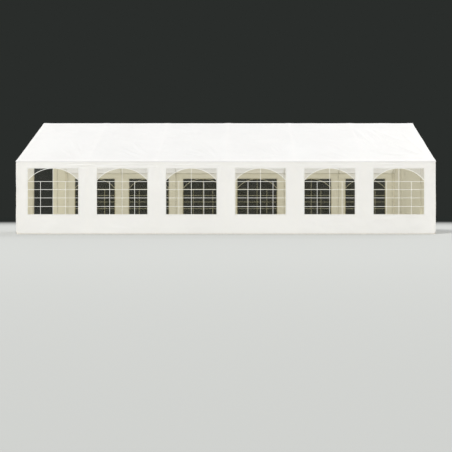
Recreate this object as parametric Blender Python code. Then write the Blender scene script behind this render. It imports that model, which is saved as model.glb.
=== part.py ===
"""Marquee tent on a frame of steel tubes, with fabric roof and walls and clear film windows.

Metres, +Z up. The length runs along X and the front wall faces -Y. The door in the gable at
-X is rolled up, the one at +X is zipped shut. The origin is on the ground, in the middle.
"""

import math

import bmesh
import bpy
from mathutils import Matrix, Vector

# Frame layout
BAYS = 6
BAY_LENGTH = 2.0  # from one frame to the next
SPAN = 6.0  # between the axes of the front and rear legs
EAVE_HEIGHT = 2.10  # axis of the eave purlins over the ground
ROOF_RISE = 1.46  # axis of the ridge purlin over the eave purlins

# Tubes and their connectors
TUBE_RADIUS = 0.019
TUBE_SIDES = 12
SMOOTH_ANGLE = math.radians(50)  # wider than between two sides of a tube
SLEEVE_WALL = 0.005
SLEEVE_LENGTH = 0.13  # along the purlins, centred on each frame
SOCKET_LENGTH = 0.15  # along the legs and rafters, from the joint's centre
FOOT_WIDTH = 0.12
FOOT_THICKNESS = 0.006
CRADLE_DEPTH = 0.09  # cradle at the top of a gable post, under the middle connector
CRADLE_WALL = 0.005

# Fabric roof and walls
FABRIC = 0.004
EAVE_LIP = 0.03  # drop of the roof's hem outside the long walls
GABLE_LIP = 0.05  # drop of the roof's hem outside the gables
HEM_CORNER_RADIUS = 0.06  # rounded lower corners of the walls
HEM_CORNER_STEPS = 4

# Windows
WINDOW_WIDTH = 1.463
WINDOW_HEIGHT = 1.331
WINDOW_SILL = 0.572
FILM = 0.002
FILM_OVERLAP = 0.02  # welded border of the film, on the inside of the wall

# Doors in the gables
DOOR_WIDTH = 2.30
DOOR_HEIGHT = 2.35
DOOR_ROLL_RADIUS = 0.07
DOOR_ROLL_RAISE = 0.02  # axis of the rolled-up door over the head of the doorway

# Fits
CLEARANCE = 0.0003
BORE_CLEARANCE = 0.0004
CUTTER_REACH = 0.5  # how far a cutter runs past what it cuts

# What follows from them
SLEEVE_RADIUS = TUBE_RADIUS + SLEEVE_WALL + BORE_CLEARANCE
BORE_RADIUS = TUBE_RADIUS + BORE_CLEARANCE
SLOPE = math.atan2(ROOF_RISE, SPAN / 2)
FRAME_END = BAYS * BAY_LENGTH / 2 + SLEEVE_LENGTH / 2
GABLE_INSIDE = FRAME_END + CLEARANCE
GABLE_OUTSIDE = GABLE_INSIDE + FABRIC
WALL_INSIDE = SPAN / 2 + SLEEVE_RADIUS + CLEARANCE
WALL_OUTSIDE = WALL_INSIDE + FABRIC
ROOF_UNDERSIDE = SLEEVE_RADIUS + CLEARANCE  # square to the slope, from the tube axes
CRADLE_BORE = SLEEVE_RADIUS + BORE_CLEARANCE

ALONG = Vector((1, 0, 0))
UP = Vector((0, 0, 1))
STEEL = ("white_coated_steel", (0.88, 0.88, 0.86), 0.4, 0.0)
SATIN = 0.55
ROOF_FABRIC = ("white_roof_fabric", (0.93, 0.93, 0.91), SATIN, 0.0)
WALL_FABRIC = ("white_wall_fabric", (0.86, 0.85, 0.82), SATIN, 0.0)
CLEAR_FILM = ("clear_window_film", (0.75, 0.75, 0.68), 0.12, 0.0)


def remove_all_objects():
    for item in list(bpy.data.objects):
        bpy.data.objects.remove(item, do_unlink=True)


def finish_material(finish):
    """The material of a finish: its name, colour, roughness and metallic value."""
    name, colour, roughness, metallic = finish
    material = bpy.data.materials.get(name)
    if material is None:
        material = bpy.data.materials.new(name)
        material.use_nodes = True
        shader = material.node_tree.nodes["Principled BSDF"]
        shader.inputs["Base Color"].default_value = (*colour, 1.0)
        shader.inputs["Roughness"].default_value = roughness
        shader.inputs["Metallic"].default_value = metallic
    return material


def object_from(bm, name):
    mesh = bpy.data.meshes.new(name)
    bmesh.ops.recalc_face_normals(bm, faces=bm.faces)
    bm.to_mesh(mesh)
    bm.free()
    item = bpy.data.objects.new(name, mesh)
    bpy.context.scene.collection.objects.link(item)
    return item


def tube(name, start, end, radius):
    """A round bar from start to end."""
    axis = end - start
    place = Matrix.Translation((start + end) / 2) @ axis.to_track_quat("Z", "Y").to_matrix().to_4x4()
    bm = bmesh.new()
    bmesh.ops.create_cone(
        bm,
        cap_ends=True,
        segments=TUBE_SIDES,
        radius1=radius,
        radius2=radius,
        depth=axis.length,
        matrix=place,
    )
    return object_from(bm, name)


def prism(name, outline, depth):
    """A flat outline given depth, a vector."""
    bm = bmesh.new()
    near = [bm.verts.new(point) for point in outline]
    far = [bm.verts.new(point + depth) for point in outline]
    bm.faces.new(near)
    bm.faces.new(far)
    for i in range(len(outline)):
        bm.faces.new((near[i - 1], near[i], far[i], far[i - 1]))
    return object_from(bm, name)


def block(name, low, high):
    bm = bmesh.new()
    size = high - low
    place = Matrix.Translation((low + high) / 2) @ Matrix.Diagonal((*size, 1.0))
    bmesh.ops.create_cube(bm, size=1.0, matrix=place)
    return object_from(bm, name)


def combine(base, others, operation):
    """Joins others to base, or cuts them out of it, and removes them."""
    group = bpy.data.collections.new("operands")
    for item in others:
        group.objects.link(item)
    boolean = base.modifiers.new(operation, "BOOLEAN")
    boolean.operation = operation
    boolean.solver = "EXACT"
    boolean.operand_type = "COLLECTION"
    boolean.collection = group
    with bpy.context.temp_override(object=base, active_object=base):
        bpy.ops.object.modifier_apply(modifier=boolean.name)
    for item in others:
        bpy.data.objects.remove(item, do_unlink=True)
    bpy.data.collections.remove(group)


def dress(item, finish, smooth=False):
    item.data.materials.clear()
    item.data.materials.append(finish_material(finish))
    if smooth:
        item.data.shade_smooth()
        item.data.set_sharp_from_angle(angle=SMOOTH_ANGLE)
    return item


def frame_places():
    """X of each frame, from left to right."""
    first = -BAYS * BAY_LENGTH / 2
    return [first + i * BAY_LENGTH for i in range(BAYS + 1)]


def bay_centres():
    return [x + BAY_LENGTH / 2 for x in frame_places()[:-1]]


def eave_point(side):
    return Vector((0, side * SPAN / 2, EAVE_HEIGHT))


def ridge_point():
    return Vector((0, 0, EAVE_HEIGHT + ROOF_RISE))


def purlin_points():
    """Where the five purlins cross a frame, by name."""
    ridge = ridge_point()
    return {
        "ridge_purlin": ridge,
        "front_eave_purlin": eave_point(-1),
        "rear_eave_purlin": eave_point(1),
        "front_mid_purlin": (eave_point(-1) + ridge) / 2,
        "rear_mid_purlin": (eave_point(1) + ridge) / 2,
    }


def rafter_pair_mesh():
    """Two rafters with their ridge, middle and eave connectors, bored for purlins and legs."""
    ridge = ridge_point()
    bars = []
    bores = []
    for side in (-1, 1):
        eave = eave_point(side)
        middle = (eave + ridge) / 2
        socket = (ridge - eave).normalized() * SOCKET_LENGTH
        bars += [
            tube("rafter", eave, ridge, TUBE_RADIUS),
            tube("eave_socket", eave, eave + socket, SLEEVE_RADIUS),
            tube("middle_socket", middle - socket, middle + socket, SLEEVE_RADIUS),
            tube("ridge_socket", ridge - socket, ridge, SLEEVE_RADIUS),
            tube("leg_socket", eave - UP * SOCKET_LENGTH, eave, SLEEVE_RADIUS),
        ]
        leg_end = eave - UP * SLEEVE_RADIUS
        bores.append(tube("leg_bore", leg_end - UP * CUTTER_REACH, leg_end, BORE_RADIUS))
    for point in purlin_points().values():
        half = ALONG * SLEEVE_LENGTH / 2
        reach = half + ALONG * CUTTER_REACH
        bars.append(tube("sleeve", point - half, point + half, SLEEVE_RADIUS))
        bores.append(tube("bore", point - reach, point + reach, BORE_RADIUS))
    combine(bars[0], bars[1:], "UNION")
    combine(bars[0], bores, "DIFFERENCE")
    mesh = dress(bars[0], STEEL, smooth=True).data
    bpy.data.objects.remove(bars[0], do_unlink=True)
    return mesh


def upright(name, place, flush, top):
    """A tube on its foot plate, which ends flush with the connectors on the side flush of Y."""
    outer = place.y + flush * SLEEVE_RADIUS
    inner = outer - flush * FOOT_WIDTH
    low = Vector((place.x - FOOT_WIDTH / 2, min(outer, inner), 0))
    high = Vector((place.x + FOOT_WIDTH / 2, max(outer, inner), FOOT_THICKNESS))
    post = tube(name, place + UP * FOOT_THICKNESS / 2, place + UP * top, TUBE_RADIUS)
    combine(post, [block("foot", low, high)], "UNION")
    return post


def make_frames():
    mesh = rafter_pair_mesh()
    leg_top = EAVE_HEIGHT - SLEEVE_RADIUS - CLEARANCE
    for number, x in enumerate(frame_places(), start=1):
        pair = bpy.data.objects.new(f"rafter_pair_{number}", mesh)
        pair.location.x = x
        bpy.context.scene.collection.objects.link(pair)
        for row, side in (("front", -1), ("rear", 1)):
            place = Vector((x, side * SPAN / 2, 0))
            leg = upright(f"{row}_leg_{number}", place, side, leg_top)
            dress(leg, STEEL, smooth=True)


def make_purlins():
    for name, point in purlin_points().items():
        purlin = tube(name, point - ALONG * FRAME_END, point + ALONG * FRAME_END, TUBE_RADIUS)
        dress(purlin, STEEL, smooth=True)


def make_gable_posts():
    """Two posts in each gable, whose cradles carry the middle connectors of the end frames."""
    for end, x in (("left", frame_places()[0]), ("right", frame_places()[-1])):
        for row, side in (("front", -1), ("rear", 1)):
            joint = purlin_points()[f"{row}_mid_purlin"] + ALONG * x
            up_slope = (ridge_point() - eave_point(side)).normalized()
            place = Vector((x, joint.y, 0))
            post = upright(f"{end}_gable_post_{row}", place, -side, joint.z)
            cradle = tube("cradle", joint - UP * CRADLE_DEPTH, joint, CRADLE_BORE + CRADLE_WALL)
            combine(post, [cradle], "UNION")
            bores = []
            for way in (ALONG, up_slope):
                reach = way * CUTTER_REACH
                bores.append(tube("bore", joint - reach, joint + reach, CRADLE_BORE))
            combine(post, bores, "DIFFERENCE")
            dress(post, STEEL, smooth=True)


def tent_section(side, above, bottom, x):
    """Outline across the tent at x: upright sides, and slopes that lie above the tube axes."""
    slope_foot = EAVE_HEIGHT + above / math.cos(SLOPE) - (side - SPAN / 2) * math.tan(SLOPE)
    apex = EAVE_HEIGHT + ROOF_RISE + above / math.cos(SLOPE)
    return [
        Vector((x, -side, bottom)),
        Vector((x, -side, slope_foot)),
        Vector((x, 0, apex)),
        Vector((x, side, slope_foot)),
        Vector((x, side, bottom)),
    ]


def wall_top():
    """Top of the long walls, just under the roof."""
    return tent_section(WALL_OUTSIDE, ROOF_UNDERSIDE - CLEARANCE, 0, 0)[1].z


def make_roof():
    """One sheet over both slopes, with a hem that drops outside the walls all round."""
    lip_inside = WALL_OUTSIDE + CLEARANCE
    lip_outside = lip_inside + FABRIC
    end_inside = GABLE_OUTSIDE + CLEARANCE
    end_outside = end_inside + FABRIC
    top = ROOF_UNDERSIDE + FABRIC
    bend = tent_section(lip_outside, top, 0, 0)[1].z
    bottom = bend - EAVE_LIP
    outer = tent_section(lip_outside, top, bottom, -end_outside)
    inner = tent_section(lip_inside, ROOF_UNDERSIDE, bottom - CUTTER_REACH, -end_inside)
    gable_lip = tent_section(
        lip_inside - GABLE_LIP,
        ROOF_UNDERSIDE - GABLE_LIP,
        bottom - CUTTER_REACH,
        -end_outside - CUTTER_REACH,
    )
    roof = prism("roof_canopy", outer, ALONG * 2 * end_outside)
    hollow = prism("hollow", inner, ALONG * 2 * end_inside)
    combine(roof, [hollow], "DIFFERENCE")
    ends = prism("ends", gable_lip, ALONG * 2 * (end_outside + CUTTER_REACH))
    combine(roof, [ends], "DIFFERENCE")
    dress(roof, ROOF_FABRIC)


def round_corner(centre, radius, start, axes):
    """A quarter circle of points round centre, from the angle start, in the plane of axes."""
    across, upward = axes
    points = []
    for i in range(HEM_CORNER_STEPS + 1):
        angle = start + i * math.pi / 2 / HEM_CORNER_STEPS
        points.append(centre + across * radius * math.cos(angle) + upward * radius * math.sin(angle))
    return points


def round_hem_corners(half_width, across, place):
    """The lower edge of a wall, from its left side to its right, with rounded corners."""
    radius = HEM_CORNER_RADIUS
    inset = half_width - radius
    left = round_corner(place - across * inset + UP * radius, radius, math.pi, (across, UP))
    right = round_corner(place + across * inset + UP * radius, radius, 1.5 * math.pi, (across, UP))
    return left + right


def window_frames():
    """Low and high X and Z of each window opening, from left to right."""
    half = WINDOW_WIDTH / 2
    top = WINDOW_SILL + WINDOW_HEIGHT
    return [(x - half, x + half, WINDOW_SILL, top) for x in bay_centres()]


def make_long_wall(row, side):
    """A wall along the tent with a window in each bay, and the films that close them."""
    inside = side * WALL_INSIDE
    outside = side * WALL_OUTSIDE
    outline = round_hem_corners(GABLE_OUTSIDE, ALONG, Vector((0, inside, 0)))
    outline.append(Vector((GABLE_OUTSIDE, inside, wall_top())))
    outline.append(Vector((-GABLE_OUTSIDE, inside, wall_top())))
    wall = prism(f"{row}_wall", outline, Vector((0, outside - inside, 0)))
    cutters = []
    near = min(inside, outside) - CUTTER_REACH
    far = max(inside, outside) + CUTTER_REACH
    for left, right, sill, head in window_frames():
        cutters.append(block("window", Vector((left, near, sill)), Vector((right, far, head))))
    combine(wall, cutters, "DIFFERENCE")
    dress(wall, WALL_FABRIC)

    film_faces = (inside - side * CLEARANCE, inside - side * (CLEARANCE + FILM))
    for number, (left, right, sill, head) in enumerate(window_frames(), start=1):
        low = Vector((left - FILM_OVERLAP, min(film_faces), sill - FILM_OVERLAP))
        high = Vector((right + FILM_OVERLAP, max(film_faces), head + FILM_OVERLAP))
        dress(block(f"{row}_window_{number}", low, high), CLEAR_FILM)


def make_gable(end, side):
    """A gable wall with its doorway, open to the ground."""
    inside = side * GABLE_INSIDE
    half_width = WALL_INSIDE - CLEARANCE
    across = Vector((0, 1, 0))
    outline = round_hem_corners(half_width, across, Vector((inside, 0, 0)))
    upper = tent_section(half_width, ROOF_UNDERSIDE - CLEARANCE, 0, inside)[1:4]
    outline += reversed(upper)
    wall = prism(f"{end}_gable_wall", outline, ALONG * side * FABRIC)
    low = Vector((inside - CUTTER_REACH, -DOOR_WIDTH / 2, -CUTTER_REACH))
    high = Vector((inside + CUTTER_REACH, DOOR_WIDTH / 2, DOOR_HEIGHT))
    combine(wall, [block("doorway", low, high)], "DIFFERENCE")
    dress(wall, WALL_FABRIC)


def make_door_roll():
    """The left door, rolled up and tied inside the gable, just over the doorway."""
    x = -(GABLE_INSIDE - CLEARANCE - DOOR_ROLL_RADIUS)
    z = DOOR_HEIGHT + DOOR_ROLL_RAISE
    half = DOOR_WIDTH / 2
    roll = tube("left_door_roll", Vector((x, -half, z)), Vector((x, half, z)), DOOR_ROLL_RADIUS)
    dress(roll, WALL_FABRIC, smooth=True)


def make_closed_door():
    """The right door, zipped shut in its doorway."""
    half = DOOR_WIDTH / 2 - CLEARANCE
    low = Vector((GABLE_INSIDE, -half, 0))
    high = Vector((GABLE_OUTSIDE, half, DOOR_HEIGHT - CLEARANCE))
    dress(block("right_door_panel", low, high), WALL_FABRIC)


remove_all_objects()
make_frames()
make_purlins()
make_gable_posts()
make_roof()
make_long_wall("front", -1)
make_long_wall("rear", 1)
make_gable("left", -1)
make_gable("right", 1)
make_door_roll()
make_closed_door()
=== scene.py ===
# %% [markdown]
# A long marquee tent: a frame of white steel tubes under a white tarpaulin roof, with white
# walls, clear film windows with white bars and an arch, an open doorway in one gable and a
# zipped door in the other. The plain CAD model is loaded first and gives every main size. Each
# of its nodes is then replaced by a finer piece that is cut or modelled here, in metres, with
# the length along X and the front towards -Y.

import math

import bmesh
import bpy
import numpy as np
from mathutils import Matrix, Vector


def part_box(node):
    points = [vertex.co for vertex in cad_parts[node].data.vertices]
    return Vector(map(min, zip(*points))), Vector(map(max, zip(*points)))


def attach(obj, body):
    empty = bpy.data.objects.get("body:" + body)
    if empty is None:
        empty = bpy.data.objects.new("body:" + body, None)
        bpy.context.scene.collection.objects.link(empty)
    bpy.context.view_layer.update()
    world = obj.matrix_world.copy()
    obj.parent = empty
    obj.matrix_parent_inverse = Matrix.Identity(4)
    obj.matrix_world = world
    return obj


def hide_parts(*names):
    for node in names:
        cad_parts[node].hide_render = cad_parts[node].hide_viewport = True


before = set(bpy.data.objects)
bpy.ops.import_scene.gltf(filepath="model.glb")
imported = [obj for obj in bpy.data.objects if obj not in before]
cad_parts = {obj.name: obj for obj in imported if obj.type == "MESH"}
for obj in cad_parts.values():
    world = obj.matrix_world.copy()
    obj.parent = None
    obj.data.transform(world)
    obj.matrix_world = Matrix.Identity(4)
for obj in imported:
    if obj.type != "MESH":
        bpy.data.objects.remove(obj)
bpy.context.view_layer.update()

# %% [markdown]
# The camera comes first. The front wall faces it squarely, and the lines that run to the rear
# meet in one pixel of the photo, so that pixel is where the camera looks straight ahead. The
# lens is shifted until that point lies where the photo has it.

# %% Camera
PHOTO_SIDE = 452  # pixels, wide and high
STRAIGHT_AHEAD = (245.0, 216.5)  # pixel at which lines along Y meet
WALL_PIXELS_PER_METRE = 34.58  # on the front wall
CAMERA_PLACE = Vector((0.552, -24.73, 0.51))
SENSOR = 36.0
CAMERA_REACH = 1500  # metres, past the edge of the floor

front_face_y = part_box("front_wall")[0].y
camera_data = bpy.data.cameras.new("camera")
camera_data.sensor_width = SENSOR
camera_data.lens = WALL_PIXELS_PER_METRE * (front_face_y - CAMERA_PLACE.y) * SENSOR / PHOTO_SIDE
camera_data.shift_x = (PHOTO_SIDE / 2 - STRAIGHT_AHEAD[0]) / PHOTO_SIDE
camera_data.shift_y = (STRAIGHT_AHEAD[1] - PHOTO_SIDE / 2) / PHOTO_SIDE
camera_data.clip_end = CAMERA_REACH
camera = bpy.data.objects.new("camera", camera_data)
camera.location = CAMERA_PLACE
camera.rotation_euler = (math.pi / 2, 0, 0)
bpy.context.scene.collection.objects.link(camera)
bpy.context.scene.camera = camera
print("camera lens", round(camera_data.lens, 2), "mm")

# %% [markdown]
# Colours are written as sRGB hex values, as a colour chart gives them, and one function turns
# them into the linear values that shaders take. One small function adds a shader node with its
# settings and its links, so that a material reads as a list of what it is made of.


# %% Colours and nodes
def colour(code):
    """The linear colour of an sRGB hex code."""
    parts = [int(code[i : i + 2], 16) / 255 for i in (0, 2, 4)]
    linear = [c / 12.92 if c <= 0.04045 else ((c + 0.055) / 1.055) ** 2.4 for c in parts]
    return (*linear, 1.0)


def add(tree, kind, inputs=None, **settings):
    """A new node. A socket is given a value, another node or a node's output."""
    node = tree.nodes.new(kind)
    for name, value in settings.items():
        setattr(node, name, value)
    for name, value in (inputs or {}).items():
        if isinstance(value, bpy.types.Node):
            value = value.outputs[0]
        if isinstance(value, bpy.types.NodeSocket):
            tree.links.new(value, node.inputs[name])
        else:
            node.inputs[name].default_value = value
    return node


def new_material(name):
    """An empty material and its node tree."""
    material = bpy.data.materials.new(name)
    material.use_nodes = True
    material.node_tree.nodes.clear()
    return material, material.node_tree


def blended(tree, low, high, amount):
    """A colour between two hex codes, by the amount that a node gives."""
    mix = add(tree, "ShaderNodeMix", {0: amount}, data_type="RGBA")
    mix.inputs[6].default_value = colour(low)
    mix.inputs[7].default_value = colour(high)
    return mix.outputs[2]


print("the mid grey 808080 is", round(colour("808080")[0], 3), "in linear light")

# %% [markdown]
# The studio: a pale floor, a bright even sky that only lights the tent, and two wide soft
# lamps, the stronger one from the upper left and a weaker one from behind on the right. White
# fabric would vanish before a white wall, so the plain backdrop that the camera sees is a dark
# grey, and the floor fades into it far away.

# %% Studio
BACKDROP = "2A2D2B"
FLOOR_NEAR = "BEBFBB"
FLOOR_FAR = "222523"
SKY_LIGHT = 0.81
SUNS = {
    "soft_key": (2.38, 10, (56, 0, -30)),  # strength, width and turn in degrees
    "soft_fill": (1.05, 40, (60, 0, 150)),
}

scene = bpy.context.scene
scene.view_settings.view_transform = "Standard"
world = bpy.data.worlds.new("studio")
world.use_nodes = True
scene.world = world
sky = world.node_tree
sky.nodes.clear()
seen = add(sky, "ShaderNodeBackground", {"Color": colour(BACKDROP), "Strength": 1.0})
lit = add(sky, "ShaderNodeBackground", {"Color": colour("FBFCFF"), "Strength": SKY_LIGHT})
ray = add(sky, "ShaderNodeLightPath")
either = add(sky, "ShaderNodeMixShader", {0: ray.outputs["Is Camera Ray"], 1: lit, 2: seen})
add(sky, "ShaderNodeOutputWorld", {"Surface": either})

for name, (strength, width, turn) in SUNS.items():
    lamp = bpy.data.lights.new(name, "SUN")
    lamp.energy = strength
    lamp.angle = math.radians(width)
    sun = bpy.data.objects.new(name, lamp)
    sun.rotation_euler = [math.radians(t) for t in turn]
    scene.collection.objects.link(sun)

FLOOR_SIDE = 900
FADE = (14, 60)  # metres from the middle, over which the floor turns to the backdrop's grey
bpy.ops.object.select_all(action="DESELECT")
bpy.ops.mesh.primitive_plane_add(size=FLOOR_SIDE)
floor = bpy.context.object
floor.name = "floor"
floor_finish, tree = new_material("pale_floor")
place = add(tree, "ShaderNodeTexCoord").outputs["Object"]
far = add(tree, "ShaderNodeVectorMath", {0: place}, operation="LENGTH").outputs["Value"]
limits = {"Value": far, "From Min": FADE[0], "From Max": FADE[1]}
fade = add(tree, "ShaderNodeMapRange", limits, interpolation_type="SMOOTHSTEP")
grey = blended(tree, FLOOR_NEAR, FLOOR_FAR, fade)
matt = add(
    tree, "ShaderNodeBsdfPrincipled", {"Base Color": grey, "Roughness": 0.9, "Specular IOR Level": 0.0}
)
add(tree, "ShaderNodeOutputMaterial", {"Surface": matt})
floor.data.materials.append(floor_finish)
print("studio lit, floor", FLOOR_SIDE, "m wide")

# %% [markdown]
# The tent's own dimensions are read from the frame: where its seven frames stand, the axes of
# the eave and ridge purlins, the openings of the windows and of the doorways.


# %% Read the frame's dimensions
def middle(node):
    """The middle of a node's box."""
    low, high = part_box(node)
    return (low + high) / 2


FRAME_COUNT = 7
WINDOW_COUNT = 6  # on each long wall
FRAMES = [middle(f"front_leg_{n}").x for n in range(1, FRAME_COUNT + 1)]
BAY = FRAMES[1] - FRAMES[0]
EAVE = middle("front_eave_purlin")
RIDGE = middle("ridge_purlin")
purlin_low, purlin_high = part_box("ridge_purlin")
TUBE = (purlin_high.z - purlin_low.z) / 2
SLEEVE = TUBE + 0.0054  # outside of the sockets and sleeves
HALF_SPAN = -EAVE.y
SLOPE = math.atan2(RIDGE.z - EAVE.z, HALF_SPAN)
RUN = math.hypot(RIDGE.z - EAVE.z, HALF_SPAN)  # from eave to ridge, up the slope
WALL_PLANE = -middle("front_wall").y  # the CAD wall's middle, front to back
GABLE_PLANE = middle("right_gable_wall").x
FRAME_END = purlin_high.x
FILM_OVERLAP = 0.02  # the films reach past their openings by this
WINDOWS = []
for n in range(1, WINDOW_COUNT + 1):
    low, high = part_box(f"front_window_{n}")
    WINDOWS.append((low.x + FILM_OVERLAP, high.x - FILM_OVERLAP))
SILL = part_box("front_window_1")[0].z + FILM_OVERLAP
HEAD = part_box("front_window_1")[1].z - FILM_OVERLAP
DOOR_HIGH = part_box("right_door_panel")[1]
DOOR_HALF = DOOR_HIGH.y
DOOR_HEAD = DOOR_HIGH.z
print("frames at", [round(x, 2) for x in FRAMES], "slope", round(math.degrees(SLOPE), 1), "degrees")
print(len(WINDOWS), "windows a side, from", round(SILL, 3), "to", round(HEAD, 3), "m high")

# %% [markdown]
# The roof and walls are tarpaulin: a cloth woven from flat tapes and coated white on both
# sides. The coating gives it a satin shine, the tapes print through as a faint weave, and
# having been packed in a bag leaves a net of fine creases. It lets some light through, warmer
# than it came, which is why the inside looks tan. Light reaches the eye from both sides, so
# the finish mixes a satin surface with a translucent one. The weave's tapes are 2.5 mm wide
# on the real cloth, and are drawn 9 mm wide, because finer ones would not show.

# %% Tarpaulin
TAPE = 0.009  # metres, as drawn
CREASE_NET = 0.42  # metres between the fine creases


def woven(tree, place, tape):
    """Height of a plain weave of flat tapes: sines along both threads, multiplied."""
    parts = add(tree, "ShaderNodeSeparateXYZ", {0: place})
    across = []
    for axis in ("X", "Y"):
        factors = {0: parts.outputs[axis], 1: math.pi / tape}
        turn = add(tree, "ShaderNodeMath", factors, operation="MULTIPLY")
        across.append(add(tree, "ShaderNodeMath", {0: turn}, operation="SINE"))
    return add(tree, "ShaderNodeMath", {0: across[0], 1: across[1]}, operation="MULTIPLY")


def tarpaulin(name, face, shade, inner, clear, crumple, dusty):
    """Coated woven cloth. clear is the share of light let through, crumple the creases' depth,
    dusty the height of the dust at the foot, in metres."""
    material, tree = new_material(name)
    flat = add(tree, "ShaderNodeUVMap", uv_map="cloth")
    solid = add(tree, "ShaderNodeTexCoord").outputs["Object"]
    large = {"Vector": solid, "Scale": 0.8, "Detail": 5.0, "Roughness": 0.6}
    clouds = add(tree, "ShaderNodeTexNoise", large)
    cloudy = add(tree, "ShaderNodeMapRange", {"Value": clouds, "From Min": 0.3, "From Max": 0.7})
    tint = blended(tree, shade, face, cloudy)
    if dusty:
        height = add(tree, "ShaderNodeSeparateXYZ", {0: solid}).outputs["Z"]
        limits = {"Value": height, "From Min": 0.0, "From Max": dusty, "To Min": 1.0, "To Max": 0.0}
        low = add(tree, "ShaderNodeMapRange", limits)
        small = {"Vector": solid, "Scale": 9.0, "Detail": 8.0, "Roughness": 0.7}
        specks = add(tree, "ShaderNodeTexNoise", small)
        dirt = add(tree, "ShaderNodeMath", {0: low, 1: specks}, operation="MULTIPLY")
        stain = add(tree, "ShaderNodeMix", {0: dirt, 6: tint, 7: colour("C3BBA8")}, data_type="RGBA")
        tint = stain.outputs[2]
    ridges = {
        "Vector": flat,
        "Scale": 1 / CREASE_NET,
        "Detail": 6.0,
        "Roughness": 0.55,
        "Lacunarity": 2.3,
    }
    kind = {"noise_type": "RIDGED_MULTIFRACTAL", "normalize": True}
    net = add(tree, "ShaderNodeTexNoise", ridges, **kind)
    tapes = woven(tree, flat, TAPE)
    grain = add(tree, "ShaderNodeBump", {"Height": tapes, "Distance": 0.0004, "Strength": 0.5})
    depth = {"Height": net, "Distance": crumple, "Strength": 0.6, "Normal": grain}
    creased = add(tree, "ShaderNodeBump", depth)
    rubbed = add(tree, "ShaderNodeTexNoise", {"Vector": flat, "Scale": 4.0, "Detail": 4.0})
    satin = add(tree, "ShaderNodeMapRange", {"Value": rubbed, "To Min": 0.42, "To Max": 0.62})
    coating = {"Base Color": tint, "Roughness": satin, "IOR": 1.47, "Normal": creased}
    surface = add(tree, "ShaderNodeBsdfPrincipled", coating)
    through = add(tree, "ShaderNodeBsdfTranslucent", {"Color": colour(inner), "Normal": creased})
    cloth = add(tree, "ShaderNodeMixShader", {0: clear, 1: surface, 2: through})
    add(tree, "ShaderNodeOutputMaterial", {"Surface": cloth})
    return material


ROOF_CLOTH = tarpaulin("white_tarpaulin_roof", "F2F2F3", "EDEDEE", "FFFCF5", 0.38, 0.03, 0)
WALL_CLOTH = tarpaulin("white_tarpaulin_wall", "F2F3F5", "EDEEF0", "FAF3E0", 0.41, 0.03, 0.05)
print("tarpaulin mixed for the roof and the walls")

# %% [markdown]
# Cloth is made here as a tent maker does it: each panel is cut flat on the table, with its
# window openings, and is then laid over the frame. The flat cut is a grid of points whose
# lines follow the openings. Its flat coordinates, in metres, stay on the panel as a UV map,
# so that the weave and the creases follow the cloth. A function for each wall says where a flat
# point lies in space, and a second one adds the folds.


# %% The flat cut
CELL = 0.036  # the grid's spacing, about one pixel of the photo


def marks(stops, step):
    """Coordinates from the first stop to the last that pass through every stop."""
    places = []
    for low, high in zip(stops, stops[1:]):
        count = max(1, math.ceil((high - low) / step))
        places += [low + (high - low) * i / count for i in range(count)]
    return np.array(places + [stops[-1]])


def flat_cut(name, across, upward, left_out=None):
    """A flat grid in X and Y. Cells whose centre is in left_out aren't made."""
    u, v = np.meshgrid(across, upward, indexing="ij")
    columns, rows = len(across), len(upward)
    points = np.column_stack([u.ravel(), v.ravel(), np.zeros(u.size)])
    i, j = np.meshgrid(np.arange(columns - 1), np.arange(rows - 1), indexing="ij")
    corner = (i * rows + j).ravel()
    faces = np.column_stack([corner, corner + rows, corner + rows + 1, corner + 1])
    if left_out is not None:
        centres = points[faces].mean(axis=1)
        faces = faces[~left_out(centres[:, 0], centres[:, 1])]
    mesh = bpy.data.meshes.new(name)
    mesh.from_pydata(points.tolist(), [], faces.tolist())
    cut = bmesh.new()
    cut.from_mesh(mesh)
    bmesh.ops.delete(cut, geom=[p for p in cut.verts if not p.link_faces], context="VERTS")
    cut.to_mesh(mesh)
    cut.free()
    piece = bpy.data.objects.new(name, mesh)
    scene.collection.objects.link(piece)
    return piece


def flat_points(piece):
    """The piece's points as an array."""
    points = np.empty(len(piece.data.vertices) * 3, np.float32)
    piece.data.vertices.foreach_get("co", points)
    return points.reshape(-1, 3).astype(float)


def lay(piece, where, origin=(0.0, 0.0)):
    """Lays a flat piece in space. X and Y are flat coordinates, Z is height above the cloth."""
    points = flat_points(piece)
    mesh = piece.data
    uv = mesh.uv_layers.get("cloth") or mesh.uv_layers.new(name="cloth")
    corners = np.empty(len(mesh.loops), np.int32)
    mesh.loops.foreach_get("vertex_index", corners)
    uv.data.foreach_set("uv", (points[corners, :2] - np.array(origin)).ravel())
    placed = where(points[:, 0], points[:, 1], points[:, 2])
    mesh.vertices.foreach_set("co", np.column_stack(placed).ravel())
    mesh.shade_smooth()
    mesh.update()


print("flat cuts on a grid of", CELL, "m")

# %% [markdown]
# A fold in tarpaulin is sharp on its back and dies away at both ends. Each one is a short
# curve on the flat cut, with a width and a height. Between the folds the cloth swells in
# long, low waves. The folds come from a seeded draw around rules that the photo shows, such as
# the creases that run in each bay down to the frame on its right.


# %% Folds and waves
FOLD_STEPS = 8
ROUND_BACK = 0.25  # of a fold's width
TROUGH_DEPTH, TROUGH_WIDTH = 0.45, 2.2  # of a fold's height and width


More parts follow.
